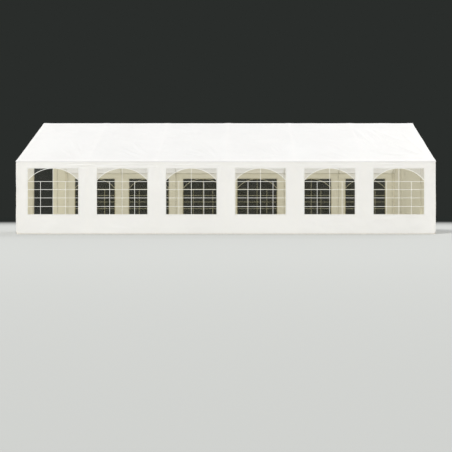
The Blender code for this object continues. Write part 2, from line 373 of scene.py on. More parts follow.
def fold(u, v, route, width, height):
    """Height that a fold adds at flat points. Its route is a start, a middle and an end."""
    start, bend, end = (np.array(p, float) for p in route)
    t = np.linspace(0, 1, FOLD_STEPS + 1)[:, None]
    line = (1 - t) ** 2 * start + 2 * t * (1 - t) * bend + t**2 * end
    reach = 5 * width
    low, high = line.min(axis=0) - reach, line.max(axis=0) + reach
    near = (u > low[0]) & (u < high[0]) & (v > low[1]) & (v < high[1])
    rise = np.zeros(u.shape)
    if not near.any():
        return rise
    x, y = u[near], v[near]
    away, along = np.full(x.shape, np.inf), np.zeros(x.shape)
    for k in range(FOLD_STEPS):
        a, step = line[k], line[k + 1] - line[k]
        share = np.clip(((x - a[0]) * step[0] + (y - a[1]) * step[1]) / (step @ step), 0, 1)
        gap = np.hypot(x - a[0] - share * step[0], y - a[1] - share * step[1])
        nearer = gap < away
        away = np.where(nearer, gap, away)
        along = np.where(nearer, (k + share) / FOLD_STEPS, along)
    fade = np.sin(math.pi * along) ** 0.7
    back = np.sqrt(away**2 + (ROUND_BACK * width) ** 2)
    shape = np.exp(-back / width) - TROUGH_DEPTH * np.exp(-((away / (TROUGH_WIDTH * width)) ** 2))
    rise[near] = height * fade * shape
    return rise


def folds(u, v, routes):
    """The heights of many folds, added up."""
    return sum((fold(u, v, *one) for one in routes), np.zeros(u.shape))


def waves(u, v, seed, length, height, count=7):
    """Long low waves in several directions, from a seeded draw."""
    draw = np.random.default_rng(seed)
    total = np.zeros(u.shape)
    for turn, phase, scale in draw.random((count, 3)):
        angle, k = math.pi * turn, 2 * math.pi / (length * (0.6 + 0.9 * scale))
        total += np.sin(k * (u * math.cos(angle) + v * math.sin(angle)) + 2 * math.pi * phase)
    return height * total / math.sqrt(count)


def drawn_fold(draw, start, end, sway, width, height):
    """A fold from start to end, with a drawn middle. A pair of limits is drawn between them."""
    bend = (start + end) / 2 + draw.normal(0, sway, 2)
    if isinstance(width, tuple):
        width = draw.uniform(*width)
    return (start, bend, end), width, draw.uniform(*height)


print("a fold is followed in", FOLD_STEPS, "steps")

# %% [markdown]
# Every edge of the cloth is hemmed. At a hem the cloth runs over an edge of the frame, drops,
# and ends in a rolled bead with a cord inside. One function follows it from the edge onwards.


# %% Edges and hems
HEM_TURN = 5.4  # radians that the bead is rolled


def over_edge(t, bend, drop, bead):
    """How far cloth that is t past an edge lies outwards and downwards."""
    arc = bend * math.pi / 2
    angle = np.clip(t / max(bend, 1e-9), 0, math.pi / 2)
    straight = np.clip(t - arc, 0, drop)
    roll = np.maximum(t - arc - drop, 0) / bead
    outward = bend * np.sin(angle) - bead * (1 - np.cos(roll))
    down = bend * (1 - np.cos(angle)) + straight + bead * np.sin(roll)
    return outward, down


def edge_stops(bend, drop, bead):
    """Distances past an edge at which the grid needs a line."""
    stops = [bend * math.pi / 2 * i / 3 for i in range(1, 4)] if bend else []
    past = bend * math.pi / 2
    stops += [past + drop * i / 2 for i in (1, 2)] if drop else []
    stops += [past + drop + bead * HEM_TURN * i / 8 for i in range(1, 9)]
    return stops


print("hems are rolled by", round(math.degrees(HEM_TURN)), "degrees")

# %% [markdown]
# The roof is one sheet that runs from the front eave over the ridge to the rear eave. It lies
# on the tubes, stands a little higher on the connectors, and sags between them. Its flat
# coordinates are X along the tent and the distance over the cloth from the ridge, with the
# front side negative. At the eaves it runs a little past the tube, turns down over a tight
# fold, and its hem leans in to the wall. At the gables the hem drops straight.

# %% The roof's section
CLOTH = 0.0012  # from a tube to the middle of the cloth on it
ON_TUBE = TUBE + CLOTH
ON_SLEEVE = SLEEVE + CLOTH
AT_EAVE = 0.0312  # at the eaves the roof passes outside the wall's hem
RIDGE_ARC = 0.024  # flat length of the cloth bent over the ridge
PAST_EAVE = 0.020  # from the tube's axis, down the slope, to the fold
EAVE_BEND = 0.007  # radius of the fold
EAVE_TUCK = 0.16  # radians that the hem leans in
EAVE_TURN = math.pi / 2 + EAVE_TUCK - SLOPE
EAVE_ARC = EAVE_BEND * EAVE_TURN
GABLE_DROP = 0.05  # length of the hem at the gables
ROOF_END = GABLE_PLANE + 0.0005  # where the roof starts to bend down at the gables
END_BEND = 0.007
SAG = 0.011  # in the middle of a bay, between two purlins
KNUCKLE = (0.12, 0.24)  # half sizes of the swelling over a connector, along X and the slope
FLAT_ON_TUBE = 0.1  # the cloth dips no fold this near to a tube
TO_EAVE = 0.14  # over which the roof rises to its height at the eaves
COS, SIN = math.cos(SLOPE), math.sin(SLOPE)
AT_RIDGE = RIDGE_ARC / 2
AT_EDGE = AT_RIDGE + RUN
AT_LIP = AT_EDGE + PAST_EAVE + EAVE_ARC
BEAD = 0.004  # radius of the hem's rolled edge
HEM_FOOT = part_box("roof_canopy")[0].z + BEAD
fold_foot = EAVE.z + (AT_EAVE - EAVE_BEND) * COS - PAST_EAVE * SIN
EAVE_DROP = (fold_foot - EAVE_BEND * math.sin(EAVE_TUCK) - HEM_FOOT) / math.cos(EAVE_TUCK)


def roof_rise(x, q, relief):
    """Height of the roof's cloth above the axes of the tubes, square to the slope."""
    down = np.clip(np.abs(q) - AT_RIDGE, 0, RUN)
    in_bay = np.clip((x - FRAMES[0]) / BAY, 0, len(FRAMES) - 1) % 1
    in_panel = (down / (RUN / 2)) % 1
    sag = SAG * np.sin(math.pi * in_bay) ** 0.8 * np.sin(math.pi * in_panel) ** 0.8
    to_frame = np.minimum(in_bay, 1 - in_bay) * BAY
    to_purlin = np.minimum(in_panel, 1 - in_panel) * RUN / 2
    knuckle = np.exp(-((to_frame / KNUCKLE[0]) ** 4) - (to_purlin / KNUCKLE[1]) ** 4)
    to_tube = np.minimum(to_frame, to_purlin)
    relief = np.where(relief < 0, relief * (1 - np.exp(-((to_tube / FLAT_ON_TUBE) ** 2))), relief)
    free = ON_TUBE + (ON_SLEEVE - ON_TUBE) * knuckle - sag + relief
    to_eave = np.clip((np.abs(q) - (AT_EDGE - TO_EAVE)) / TO_EAVE, 0, 1)
    return free + (AT_EAVE - free) * to_eave**2 * (3 - 2 * to_eave)


def roof_place(x, q, height):
    """Where a flat point of the roof lies."""
    past = np.maximum(np.abs(x) - ROOF_END, 0)
    outward, fall = over_edge(past, END_BEND, GABLE_DROP, BEAD)
    inside = np.clip(x, -ROOF_END, ROOF_END)
    rise = roof_rise(inside, q, roof_relief(inside, q)) + height
    a = np.abs(q)
    down = np.clip(a - AT_RIDGE, 0, RUN + PAST_EAVE)
    angle = SLOPE * np.clip(a / AT_RIDGE, 0, 1)
    angle = angle + np.clip((a - AT_EDGE - PAST_EAVE) / EAVE_BEND, 0, EAVE_TURN)
    radius = np.where(a > AT_EDGE, EAVE_BEND, rise)
    lip_out, lip_down = over_edge(np.maximum(a - AT_LIP, 0), 0.0, EAVE_DROP, BEAD)
    hem = np.clip(a - AT_LIP, 0, EAVE_DROP)
    lip_out = lip_out - hem * math.sin(EAVE_TUCK)
    lip_down = lip_down - hem * (1 - math.cos(EAVE_TUCK))
    half = down * COS + (rise - radius) * SIN + radius * np.sin(angle) + lip_out
    z = RIDGE.z - down * SIN + (rise - radius) * COS + radius * np.cos(angle) - lip_down
    z = z - np.minimum(fall, np.maximum(z - HEM_FOOT, 0.0))
    return np.sign(x) * (np.abs(inside) + outward), np.sign(q) * half, z


print("roof: ridge to lip", round(AT_LIP, 3), "m, hem", round(EAVE_DROP, 3), "m")

# %% [markdown]
# The roof's folds. In each bay the photo shows shallow creases that start halfway up and run
# down to the connector on the right. The bay at the right end is the most creased: a fan of
# curved folds starts high on its left and sweeps down to the gable. The rear slope gets its
# own draw by the same rules.

# %% The roof's folds
DRAW_TO_RIGHT = 3  # creases in a bay that are drawn to its lower right corner
FROM_CORNER = 0.16  # they end about this far from it
ROOF_SEEDS = {-1: 31, 1: 57}  # front and rear
FAN = [  # start, bend and end, each along the tent and down the slope; then width and height
    (((4.42, 0.45), (4.80, 1.97), (5.78, 2.80)), 0.10, 0.120),
    (((4.12, 0.50), (4.18, 1.50), (4.56, 2.25)), 0.08, 0.088),
    (((4.24, 2.20), (4.55, 2.80), (5.25, 2.86)), 0.07, 0.080),
    (((4.62, 0.40), (5.05, 1.40), (5.60, 1.75)), 0.07, 0.064),
    (((5.40, 0.60), (5.62, 1.50), (5.86, 2.70)), 0.08, 0.076),
]


def bay_folds(side):
    """Folds of one slope, with the ridge at 0 and the distance down the slope times side."""
    draw = np.random.default_rng(ROOF_SEEDS[side])
    found = []
    for left in FRAMES[:-1]:
        corner = np.array([left + BAY - FROM_CORNER, RUN - FROM_CORNER])
        for k in range(DRAW_TO_RIGHT):
            start = corner - np.array([1.3 - 0.3 * k, 0.45 + 0.5 * k]) + draw.normal(0, 0.1, 2)
            end = corner - np.array([0.1 + 0.16 * (2 - k), 0.12 * k]) + draw.normal(0, 0.03, 2)
            found.append(drawn_fold(draw, start, end, 0.08, (0.06, 0.08), (0.036, 0.054)))
        across = draw.uniform(0.3, 2.6)
        start = np.array([left + draw.uniform(0.2, 0.7), across])
        end = start + np.array([draw.uniform(0.5, 1.0), draw.uniform(-0.1, 0.45)])
        found.append(drawn_fold(draw, start, end, 0.06, 0.05, (0.014, 0.022)))
        start = np.array([left + draw.uniform(0.1, 0.3), draw.uniform(0.15, 0.3)])
        end = start + np.array([draw.uniform(0.3, 0.8), draw.uniform(0.4, 0.9)])
        found.append(drawn_fold(draw, start, end, 0.05, 0.045, (0.012, 0.02)))
    found = [one for one in found if one[0][0][0] < FRAMES[-2]] + FAN
    return [(tuple((p[0], side * p[1]) for p in route), *sizes) for route, *sizes in found]


ROOF_FOLDS = {side: bay_folds(side) for side in ROOF_SEEDS}
EDGE_FADE = 0.12  # over which the folds fade out at the eaves


def roof_relief(x, q):
    """Folds and waves of the roof, fading out at the eaves."""
    total = waves(x, q, 11, 0.85, 0.0018) + waves(x, q, 12, 0.3, 0.0006)
    for side in (-1, 1):
        half = np.where(q * side > 0, 1.0, 0.0)
        total = total + half * folds(x, q, ROOF_FOLDS[side])
    return total * np.clip((AT_EDGE - np.abs(q)) / EDGE_FADE, 0, 1)


bead_marks = [AT_LIP + t for t in edge_stops(0.0, EAVE_DROP, BEAD)]
slope_marks = list(marks([AT_RIDGE, AT_RIDGE + RUN / 2, AT_EDGE], CELL))
fold_marks = [AT_EDGE + PAST_EAVE + EAVE_ARC * i / 5 for i in range(6)]
half_marks = [AT_RIDGE / 2] + slope_marks + fold_marks + bead_marks
across_roof = np.array([-m for m in reversed(half_marks)] + [0.0] + half_marks)
end_marks = [ROOF_END + t for t in edge_stops(END_BEND, GABLE_DROP, BEAD)]
inner_marks = list(marks([-ROOF_END] + FRAMES + [ROOF_END], CELL))
along_roof = np.array([-m for m in reversed(end_marks)] + inner_marks + end_marks)


def roof_corner(x, q):
    """The squares cut out of the corners, where both hems would meet."""
    return (np.abs(x) > ROOF_END) & (np.abs(q) > AT_LIP)


roof = flat_cut("roof_sheet", along_roof, across_roof, roof_corner)
lay(roof, roof_place)
roof.data.materials.append(ROOF_CLOTH)
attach(roof, "root")
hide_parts("roof_canopy")

# %% [markdown]
# The four walls hang from the eave tubes and the rafters. Each is cut flat, seen from outside,
# with its middle at 0 and its lower edge at the top of the hem's bead. A wall's own place is a
# quarter turn or more from the front wall, so one function stands any of them up.

# %% Standing the walls up
QUARTERS = {"front": 0, "right": 1, "rear": 2, "left": 3}
WALL_BEAD = 0.005
GROUND_GAP = 0.001
HEM_Z = WALL_BEAD + GROUND_GAP  # height of the lower edge, where the bead starts
CORNER_BEND = 0.012
CORNER_FLAP = 0.045  # the long walls reach round the corners by this much
CORNER_RADIUS = 0.07  # lower corners of the walls
ON_PURLIN = SLEEVE + 0.0023  # the wall's top wraps the eave tube at this distance from its axis
TOP_WRAP = 0.02  # flat length that lies over the eave tube
WALL_TOP = EAVE.z - HEM_Z
LONG_CORNER = GABLE_PLANE + 0.0045 - CORNER_BEND  # where the long walls start round the corner
CORNER_LIFT = 0.35  # height up to which a rounded lower corner is felt
NO_BEAD = 10.0  # so wide that the flap's edge stays flat


def stand(side, u, out, z, plane):
    """A point at u along a wall and out from its plane, turned to the wall's side."""
    x, y = u, -(plane + out)
    for _ in range(QUARTERS[side]):
        x, y = -y, x
    return x, y, z


def lower_edge(u, v, bend_from):
    """Height of a wall's points: a bead under the lower edge, and rounded lower corners."""
    inward, down = over_edge(np.maximum(-v, 0), 0.0, 0.0, WALL_BEAD)
    near = np.clip((np.abs(u) - (bend_from - CORNER_RADIUS)) / CORNER_RADIUS, 0, 1)
    lift = CORNER_RADIUS * (1 - np.sqrt(1 - near**2)) * np.clip(1 - v / CORNER_LIFT, 0, 1) ** 2
    return HEM_Z + np.maximum(v, 0) - down + lift, inward


def long_wall_place(side, relief):
    """Returns where a flat point of a long wall lies."""

    def place(u, v, height):
        z, bead_in = lower_edge(u, v, LONG_CORNER)
        past = np.maximum(np.abs(u) - LONG_CORNER, 0)
        round_corner, back = over_edge(past, CORNER_BEND, CORNER_FLAP, NO_BEAD)
        out = relief(np.clip(u, -LONG_CORNER, LONG_CORNER), v) + height
        wrap = np.maximum(v - WALL_TOP, 0) / ON_PURLIN
        radius = WALL_PLANE - HALF_SPAN
        out = out - radius * (1 - np.cos(wrap)) + bead_in
        z = z - np.maximum(v - WALL_TOP, 0) + radius * np.sin(wrap)
        turned = np.clip(past / CORNER_BEND, 0, 1)
        along = np.minimum(np.abs(u), LONG_CORNER) + round_corner + turned * out
        return stand(side, np.sign(u) * along, out * (1 - turned) - back, z, WALL_PLANE)

    return place


print("walls: hem at", HEM_Z, "m, top at", round(HEM_Z + WALL_TOP, 3), "m")

# %% [markdown]
# The long walls are pulled tight along the eave tube, which gathers them into thin horizontal
# wrinkles just under the roof. From each frame's connector a few folds fan out into the strip
# between two windows, and shallow ones cross the plain band under the windows. The film
# windows are stiffer than the cloth and keep their part of the wall nearly flat.

# %% Folds of the long walls
SWELL = 0.010  # how far the wall stands out between two frames
HUNG = 0.06  # the tube holds the cloth down to this far under it
PEGGED = (0.12, 0.25)  # the height that the pegs reach, and the share of the folds at the hem


def long_wall_folds(seed):
    """Wrinkles under the roof, folds under the windows and fans between them."""
    draw = np.random.default_rng(seed)
    found = []
    for left in FRAMES[:-1]:
        for _ in range(5):
            u = left + draw.uniform(-0.1, 1.3)
            start = np.array([u, draw.uniform(WALL_TOP - 0.16, WALL_TOP - 0.04)])
            end = start + np.array([draw.uniform(0.4, 1.1), draw.normal(0, 0.03)])
            found.append(drawn_fold(draw, start, end, 0.012, (0.016, 0.024), (0.014, 0.024)))
        for _ in range(2):
            start = np.array([left + draw.uniform(0.0, 1.0), draw.uniform(0.1, 0.46)])
            end = start + np.array([draw.uniform(0.5, 1.2), draw.uniform(-0.22, 0.16)])
            found.append(drawn_fold(draw, start, end, 0.05, (0.03, 0.045), (0.009, 0.015)))
    for x in FRAMES:
        for lean in (-1, 1):
            if abs(x + lean * 0.1) > FRAMES[-1]:
                continue
            for _ in range(2):
                u = x + lean * draw.uniform(0.0, 0.05)
                start = np.array([u, WALL_TOP - draw.uniform(0.02, 0.1)])
                end = np.array([x + lean * draw.uniform(0.08, 0.26), draw.uniform(0.75, 1.45)])
                half_way = (start[1] + end[1]) / 2
                bend = np.array([x + lean * draw.uniform(0.1, 0.3), half_way + draw.uniform(0.1, 0.3)])
                found.append(((start, bend, end), draw.uniform(0.025, 0.04), draw.uniform(0.006, 0.011)))
    return found


def long_wall_relief(seed):
    """Returns how far a long wall stands out at its flat points."""
    routes = long_wall_folds(seed)

    def relief(u, v):
        in_bay = np.clip((u - FRAMES[0]) / BAY, 0, len(FRAMES) - 1) % 1
        hung = np.clip((WALL_TOP - v) / HUNG, 0, 1)
        pegged = np.clip(v / PEGGED[0], PEGGED[1], 1)
        upright = np.sin(math.pi * np.clip(v / WALL_TOP, 0, 1)) ** 0.6
        swell = SWELL * np.sin(math.pi * in_bay) ** 2 * upright
        loose = waves(u, v, seed + 1, 0.9, 0.0028) + waves(u, v, seed + 2, 0.28, 0.0009)
        return (swell + folds(u, v, routes) + loose) * hung * pegged + 0.0005

    return relief


LONG_RELIEF = {"front": long_wall_relief(101), "rear": long_wall_relief(202)}


def window_stops(side):
    """The windows' edges along a wall, as seen from outside."""
    edges = [edge for window in WINDOWS for edge in window]
    return edges if side == "front" else sorted(-edge for edge in edges)


def in_windows(side):
    """Returns whether flat points are in a window, or on the flap past the wall's top."""
    edges = window_stops(side)
    bottom, top = SILL - HEM_Z, HEAD - HEM_Z

    def left_out(u, v):
        inside = np.zeros(u.shape, bool)
        for low, high in zip(edges[::2], edges[1::2]):
            inside |= (u > low) & (u < high) & (v > bottom) & (v < top)
        flap_top = (np.abs(u) > LONG_CORNER) & (v > WALL_TOP - 0.004)
        return inside | flap_top

    return left_out


bead_down = [-t for t in reversed(edge_stops(0.0, 0.0, WALL_BEAD))]
to_head = list(marks([0, SILL - HEM_Z, HEAD - HEM_Z], CELL))
to_top = list(marks([HEAD - HEM_Z, WALL_TOP], CELL / 2))[1:]
over_tube = [WALL_TOP + TOP_WRAP * i / 3 for i in (1, 2, 3)]
upward = np.array(bead_down + to_head + to_top + over_tube)
round_end = [LONG_CORNER + CORNER_BEND * math.pi / 2 * i / 4 for i in range(1, 5)]
round_end.append(round_end[-1] + CORNER_FLAP)
for side in ("front", "rear"):
    stops = sorted([-LONG_CORNER] + window_stops(side) + FRAMES + [LONG_CORNER])
    across = np.array([-m for m in reversed(round_end)] + list(marks(stops, CELL)) + round_end)
    wall = flat_cut(f"{side}_wall_sheet", across, upward, in_windows(side))
    lay(wall, long_wall_place(side, LONG_RELIEF[side]))
    wall.data.materials.append(WALL_CLOTH)
    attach(wall, "root")
    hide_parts(f"{side}_wall")

# %% [markdown]
# Each window is a sheet of clear soft film, welded to the inside of the wall all round its
# opening. Under the arch it has a light warm tint, which the photo shows as a tan veil over
# the inside. Over the arch it is untinted, with a trace of haze. The tint is placed by the
# film's own flat coordinates, which start at the middle of the sill, so that all twelve
# windows share one finish.

# %% Clear film
HALF_WINDOW = (WINDOWS[0][1] - WINDOWS[0][0]) / 2
ARCH_TOP = 1.912 - SILL  # the arch's outer edge over the sill, just past the window's head
ARCH_RADIUS = 0.9475  # its outer edge
ARCH_CENTRE = ARCH_TOP - ARCH_RADIUS
CLEAR_HAZE = 0.008
CORNER_HAZE = 0.028  # over the arch
UNDER_ARCH, OVER_ARCH = "E9E6D5", "FAFAF8"


def window_film():
    """Clear film, tinted under the arch."""
    film, tree = new_material("clear_window_film")
    flat = add(tree, "ShaderNodeUVMap", uv_map="cloth")
    ends = {0: flat, 1: (0, ARCH_CENTRE, 0)}
    from_arch = add(tree, "ShaderNodeVectorMath", ends, operation="DISTANCE").outputs["Value"]
    limits = {"Value": from_arch, "From Min": ARCH_RADIUS - 0.008, "From Max": ARCH_RADIUS + 0.004}
    outside = add(tree, "ShaderNodeMapRange", limits)
    limits = {"Value": outside, "To Min": CLEAR_HAZE, "To Max": CORNER_HAZE}
    cloud = add(tree, "ShaderNodeMapRange", limits)
    drift = {"Vector": flat, "Scale": 2.2, "Detail": 4.0, "Distortion": 1.2}
    streaks = add(tree, "ShaderNodeTexNoise", drift)
    limits = {"Value": streaks, "From Min": 0.3, "From Max": 0.7, "To Min": 0.7, "To Max": 1.3}
    uneven = add(tree, "ShaderNodeMapRange", limits)
    haze = add(tree, "ShaderNodeMath", {0: cloud, 1: uneven}, operation="MULTIPLY")
    rippled = add(tree, "ShaderNodeBump", {"Height": streaks, "Distance": 0.002, "Strength": 0.3})
    tint = blended(tree, UNDER_ARCH, OVER_ARCH, outside)
    clear = add(tree, "ShaderNodeBsdfTransparent", {"Color": tint})
    soft = {"Base Color": colour("F4F3EC"), "Roughness": 0.4, "Normal": rippled}
    milky = add(tree, "ShaderNodeBsdfPrincipled", soft)
    milky_through = add(tree, "ShaderNodeBsdfTranslucent", {"Color": colour("F4F1E2")})
    cloudy = add(tree, "ShaderNodeMixShader", {0: 0.2, 1: milky, 2: milky_through})
    hazed = add(tree, "ShaderNodeMixShader", {0: haze, 1: clear, 2: cloudy})
    polish = {"Color": colour("FFFFFF"), "Roughness": 0.07, "Normal": rippled}
    shine = add(tree, "ShaderNodeBsdfGlossy", polish)
    edge_on = add(tree, "ShaderNodeFresnel", {"IOR": 1.22, "Normal": rippled})
    whole = add(tree, "ShaderNodeMixShader", {0: edge_on, 1: hazed, 2: shine})
    add(tree, "ShaderNodeOutputMaterial", {"Surface": whole})
    return film


FILM = window_film()
print("arch radius", round(ARCH_RADIUS, 3), "m, centre", round(ARCH_CENTRE, 3), "m over the sill")

# %% Twelve films
FILM_BEHIND = -0.0015  # the film lies behind the wall's cloth
FILM_CELL = 0.05
FILM_RIPPLE = 0.0035


def film_place(side, centre):
    """Where a film's flat point lies: on the wall, with ripples that die away at its edges."""
    on_wall = long_wall_place(side, LONG_RELIEF[side])

    def place(u, v, height):
        across = np.clip((HALF_WINDOW - np.abs(u - centre)) / HALF_WINDOW, 0, 1)
        up = np.clip(1 - np.abs(v + HEM_Z - (SILL + HEAD) / 2) / ((HEAD - SILL) / 2), 0, 1)
        inner = np.minimum(1, 4 * across) * np.minimum(1, 4 * up)
        ripple = waves(u, v, int(1000 + 10 * centre), 0.5, FILM_RIPPLE) * inner
        return on_wall(u, v, height + FILM_BEHIND - np.abs(ripple))

    return place


def window_centres(side):
    """The windows' middles along a wall as seen from outside, by number."""
    way = 1 if side == "front" else -1
    return {n: way * (low + high) / 2 for n, (low, high) in enumerate(WINDOWS, start=1)}


for side in ("front", "rear"):
    for number, centre in window_centres(side).items():
        reach = HALF_WINDOW + FILM_OVERLAP
        low, high = SILL - HEM_Z - FILM_OVERLAP, HEAD - HEM_Z + FILM_OVERLAP
        film = flat_cut(
            f"{side}_window_{number}_film",
            marks([centre - reach, centre + reach], FILM_CELL),
            marks([low, high], FILM_CELL),
        )
        lay(film, film_place(side, centre), origin=(centre, SILL - HEM_Z))
        film.data.materials.append(FILM)
        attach(film, "root")
        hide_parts(f"{side}_window_{number}")

# %% [markdown]
# The bars are white strips welded on the film: one up the middle, one each side of it that
# stops at the top cross bar, four cross bars and the arch. A wider strip frames the opening on
# the wall's cloth. They are modelled flat, on the table, from grids and a spun arch, given
# their thickness, joined, and laid on each wall like the cloth itself. Crossing strips differ
# a little in thickness, as welded ones do, so that no two faces coincide.

# %% Modelling helpers
CORNER_ANGLE = math.radians(35)
ROUND_SIDES = 32  # of a tube


def deselect():
    """Deselects everything, before a new primitive is added."""
    bpy.ops.object.select_all(action="DESELECT")


def only(piece):
    """Selects one piece and makes it active."""
    deselect()
    piece.select_set(True)
    bpy.context.view_layer.objects.active = piece


def settle():
    """Moves the selected piece's place, turn and size into its mesh."""
    bpy.ops.object.transform_apply(location=True, rotation=True, scale=True)


def named(name):
    """Names the object that an operator has just made."""
    piece = bpy.context.object
    piece.name = name
    piece.data.name = name
    return piece


def modifier(piece, kind, **settings):
    """Adds a modifier and applies it."""
    only(piece)
    added = piece.modifiers.new(kind.title(), kind)
    for name, value in settings.items():
        setattr(added, name, value)
    bpy.ops.object.modifier_apply(modifier=added.name)
    return piece


def broken_edges(piece, width):
    """Rounds a piece's sharp edges, as a maker breaks them."""
    return modifier(piece, "BEVEL", width=width, segments=2, limit_method="ANGLE")


def crisp(piece):
    """Smooth faces, but with sharp edges where they meet at a corner."""
    only(piece)
    bpy.ops.object.shade_smooth_by_angle(angle=CORNER_ANGLE)


def joined(parts, name):
    """One mesh of several."""
    deselect()
    for part in parts:
        part.select_set(True)
    bpy.context.view_layer.objects.active = parts[0]
    bpy.ops.object.join()
    return named(name)


def copied(piece, name, place):
    """A copy with its own mesh, moved by a matrix."""
    mesh = piece.data.copy()
    mesh.name = name
    mesh.transform(place)
    twin = bpy.data.objects.new(name, mesh)
    scene.collection.objects.link(twin)
    return twin


def remove(*pieces):
    """Removes patterns whose copies are in place."""
    for piece in pieces:
        bpy.data.objects.remove(piece, do_unlink=True)


def pick(piece, kind, wanted):
    """In edit mode, selects the points or faces for which wanted is true."""
    only(piece)
    bpy.ops.object.mode_set(mode="EDIT")
    bpy.ops.mesh.select_mode(type=kind)
    bpy.ops.mesh.select_all(action="DESELECT")
    bpy.ops.object.mode_set(mode="OBJECT")
    for part in piece.data.vertices if kind == "VERT" else piece.data.polygons:
        part.select = bool(wanted(part))
    bpy.ops.object.mode_set(mode="EDIT")


def sized(name, size):
    """Names a new piece of unit size, gives it its real size in edit mode, and settles it."""
    piece = named(name)
    bpy.ops.object.mode_set(mode="EDIT")
    bpy.ops.transform.resize(value=size)
    bpy.ops.object.mode_set(mode="OBJECT")
    settle()
    return piece


def flat_strip(name, low, high, thick, step=0.07, raised=0.0):
    """A flat strip between two corners of the cut, with the grid lines that it needs to bend."""
    size = (high[0] - low[0], high[1] - low[1])
    deselect()
    bpy.ops.mesh.primitive_grid_add(
        x_subdivisions=max(1, math.ceil(size[0] / step)),
        y_subdivisions=max(1, math.ceil(size[1] / step)),
        size=1,
        location=((low[0] + high[0]) / 2, (low[1] + high[1]) / 2, raised),
    )
    return modifier(sized(name, (*size, 1)), "SOLIDIFY", thickness=thick, offset=1.0)


def pipe(name, start, end, radius, wall):
    """A tube from start to end, with its outer radius and its wall."""
    deselect()
    axis = end - start
    bpy.ops.mesh.primitive_cylinder_add(
        vertices=ROUND_SIDES,
        radius=radius,
        depth=axis.length,
        end_fill_type="NOTHING",
        location=(start + end) / 2,
        rotation=axis.to_track_quat("Z", "Y").to_euler(),
    )
    tube = named(name)
    settle()
    return modifier(tube, "SOLIDIFY", thickness=wall, offset=-1.0)


def rounded_block(name, low, high, round_off):
    """A block with rounded edges."""
    deselect()
    bpy.ops.mesh.primitive_cube_add(size=1, location=(Vector(low) + Vector(high)) / 2)
    return broken_edges(sized(name, tuple(b - a for a, b in zip(low, high))), round_off)


def faces_out():
    """In edit mode, turns every face outwards, and leaves edit mode."""
    bpy.ops.mesh.select_all(action="SELECT")
    bpy.ops.mesh.normals_make_consistent(inside=False)
    bpy.ops.object.mode_set(mode="OBJECT")


print("corners under", round(math.degrees(CORNER_ANGLE)), "degrees are shaded smooth")

# %% One set of bars
BAR = 0.011  # width of the straight bars
ARCH_BAR = 0.015  # width of the arch
BAR_HEIGHTS = [1.521 - SILL, 1.288 - SILL, 1.048 - SILL, 0.800 - SILL]
SIDE_BAR = 0.361  # from the middle bar
FRAME_STRIP = 0.028  # width of the border on the cloth
STRIP_THICK = {"upright": 0.0010, "cross": 0.0013, "arch": 0.0014, "frame": 0.0016}
ARCH_STEPS = 40


def arch_strip():
    """The arch: a short edge across the strip, spun about the arch's centre and trimmed."""
    half = math.asin((HALF_WINDOW + 2 * ARCH_BAR) / ARCH_RADIUS)
    deselect()
    bpy.ops.mesh.primitive_plane_add(size=ARCH_BAR, location=(0, ARCH_RADIUS - ARCH_BAR / 2, 0))
    strip = named("arch")
    bpy.ops.object.transform_apply(location=True)
    pick(strip, "VERT", lambda point: point.co.x > 0)
    bpy.ops.mesh.delete(type="VERT")
    bpy.ops.mesh.select_all(action="SELECT")
    bpy.ops.mesh.spin(steps=ARCH_STEPS, angle=2 * half, center=(0, 0, 0), axis=(0, 0, 1))
    faces_out()
    if strip.data.polygons[0].normal.z < 0:
        strip.data.flip_normals()
    swept_to = sum(point.co.x for point in strip.data.vertices)
    strip.rotation_euler.z = math.copysign(half, swept_to)
    strip.location.y = ARCH_CENTRE
    only(strip)
    settle()
    bpy.ops.object.mode_set(mode="EDIT")
    for edge, outward in (
        ((0, HEAD - SILL, 0), (0, 1, 0)),
        ((HALF_WINDOW, 0, 0), (1, 0, 0)),
        ((-HALF_WINDOW, 0, 0), (-1, 0, 0)),
    ):
        bpy.ops.mesh.select_all(action="SELECT")
        bpy.ops.mesh.bisect(plane_co=edge, plane_no=outward, clear_outer=True)
    bpy.ops.object.mode_set(mode="OBJECT")
    return modifier(strip, "SOLIDIFY", thickness=STRIP_THICK["arch"], offset=1.0)


bars = []
upright_top = BAR_HEIGHTS[0]
for x, top in ((0.0, HEAD - SILL), (-SIDE_BAR, upright_top), (SIDE_BAR, upright_top)):
    bars.append(flat_strip("upright", (x - BAR / 2, 0), (x + BAR / 2, top), STRIP_THICK["upright"]))
for height in BAR_HEIGHTS:
    low, high = (-HALF_WINDOW, height - BAR / 2), (HALF_WINDOW, height + BAR / 2)
    bars.append(flat_strip("cross", low, high, STRIP_THICK["cross"]))
print(len(bars), "straight bars,", BAR * 1000, "mm wide, and an arch of", ARCH_BAR * 1000, "mm")
bars.append(arch_strip())
flat_bars = joined(bars, "flat_bars")


def plastic(name, dark, light, patches, rough, grain=0.0004, through=0.0):
    """Smooth plastic with a fine grain. A share of the light, through, passes it."""
    material, tree = new_material(name)
    solid = add(tree, "ShaderNodeTexCoord").outputs["Object"]
    drift = add(tree, "ShaderNodeTexNoise", {"Vector": solid, "Scale": patches, "Detail": 5.0})
    fine = add(tree, "ShaderNodeTexNoise", {"Vector": solid, "Scale": 200.0, "Detail": 2.0})
    bump = add(tree, "ShaderNodeBump", {"Height": fine, "Distance": grain, "Strength": 0.4})
    shade = blended(tree, dark, light, drift)
    settings = {"Base Color": shade, "Roughness": rough, "IOR": 1.5, "Normal": bump}
    face = add(tree, "ShaderNodeBsdfPrincipled", settings)
    if through:
        glow = add(tree, "ShaderNodeBsdfTranslucent", {"Color": colour(light)})
        face = add(tree, "ShaderNodeMixShader", {0: through, 1: face, 2: glow})
    add(tree, "ShaderNodeOutputMaterial", {"Surface": face})
    return material


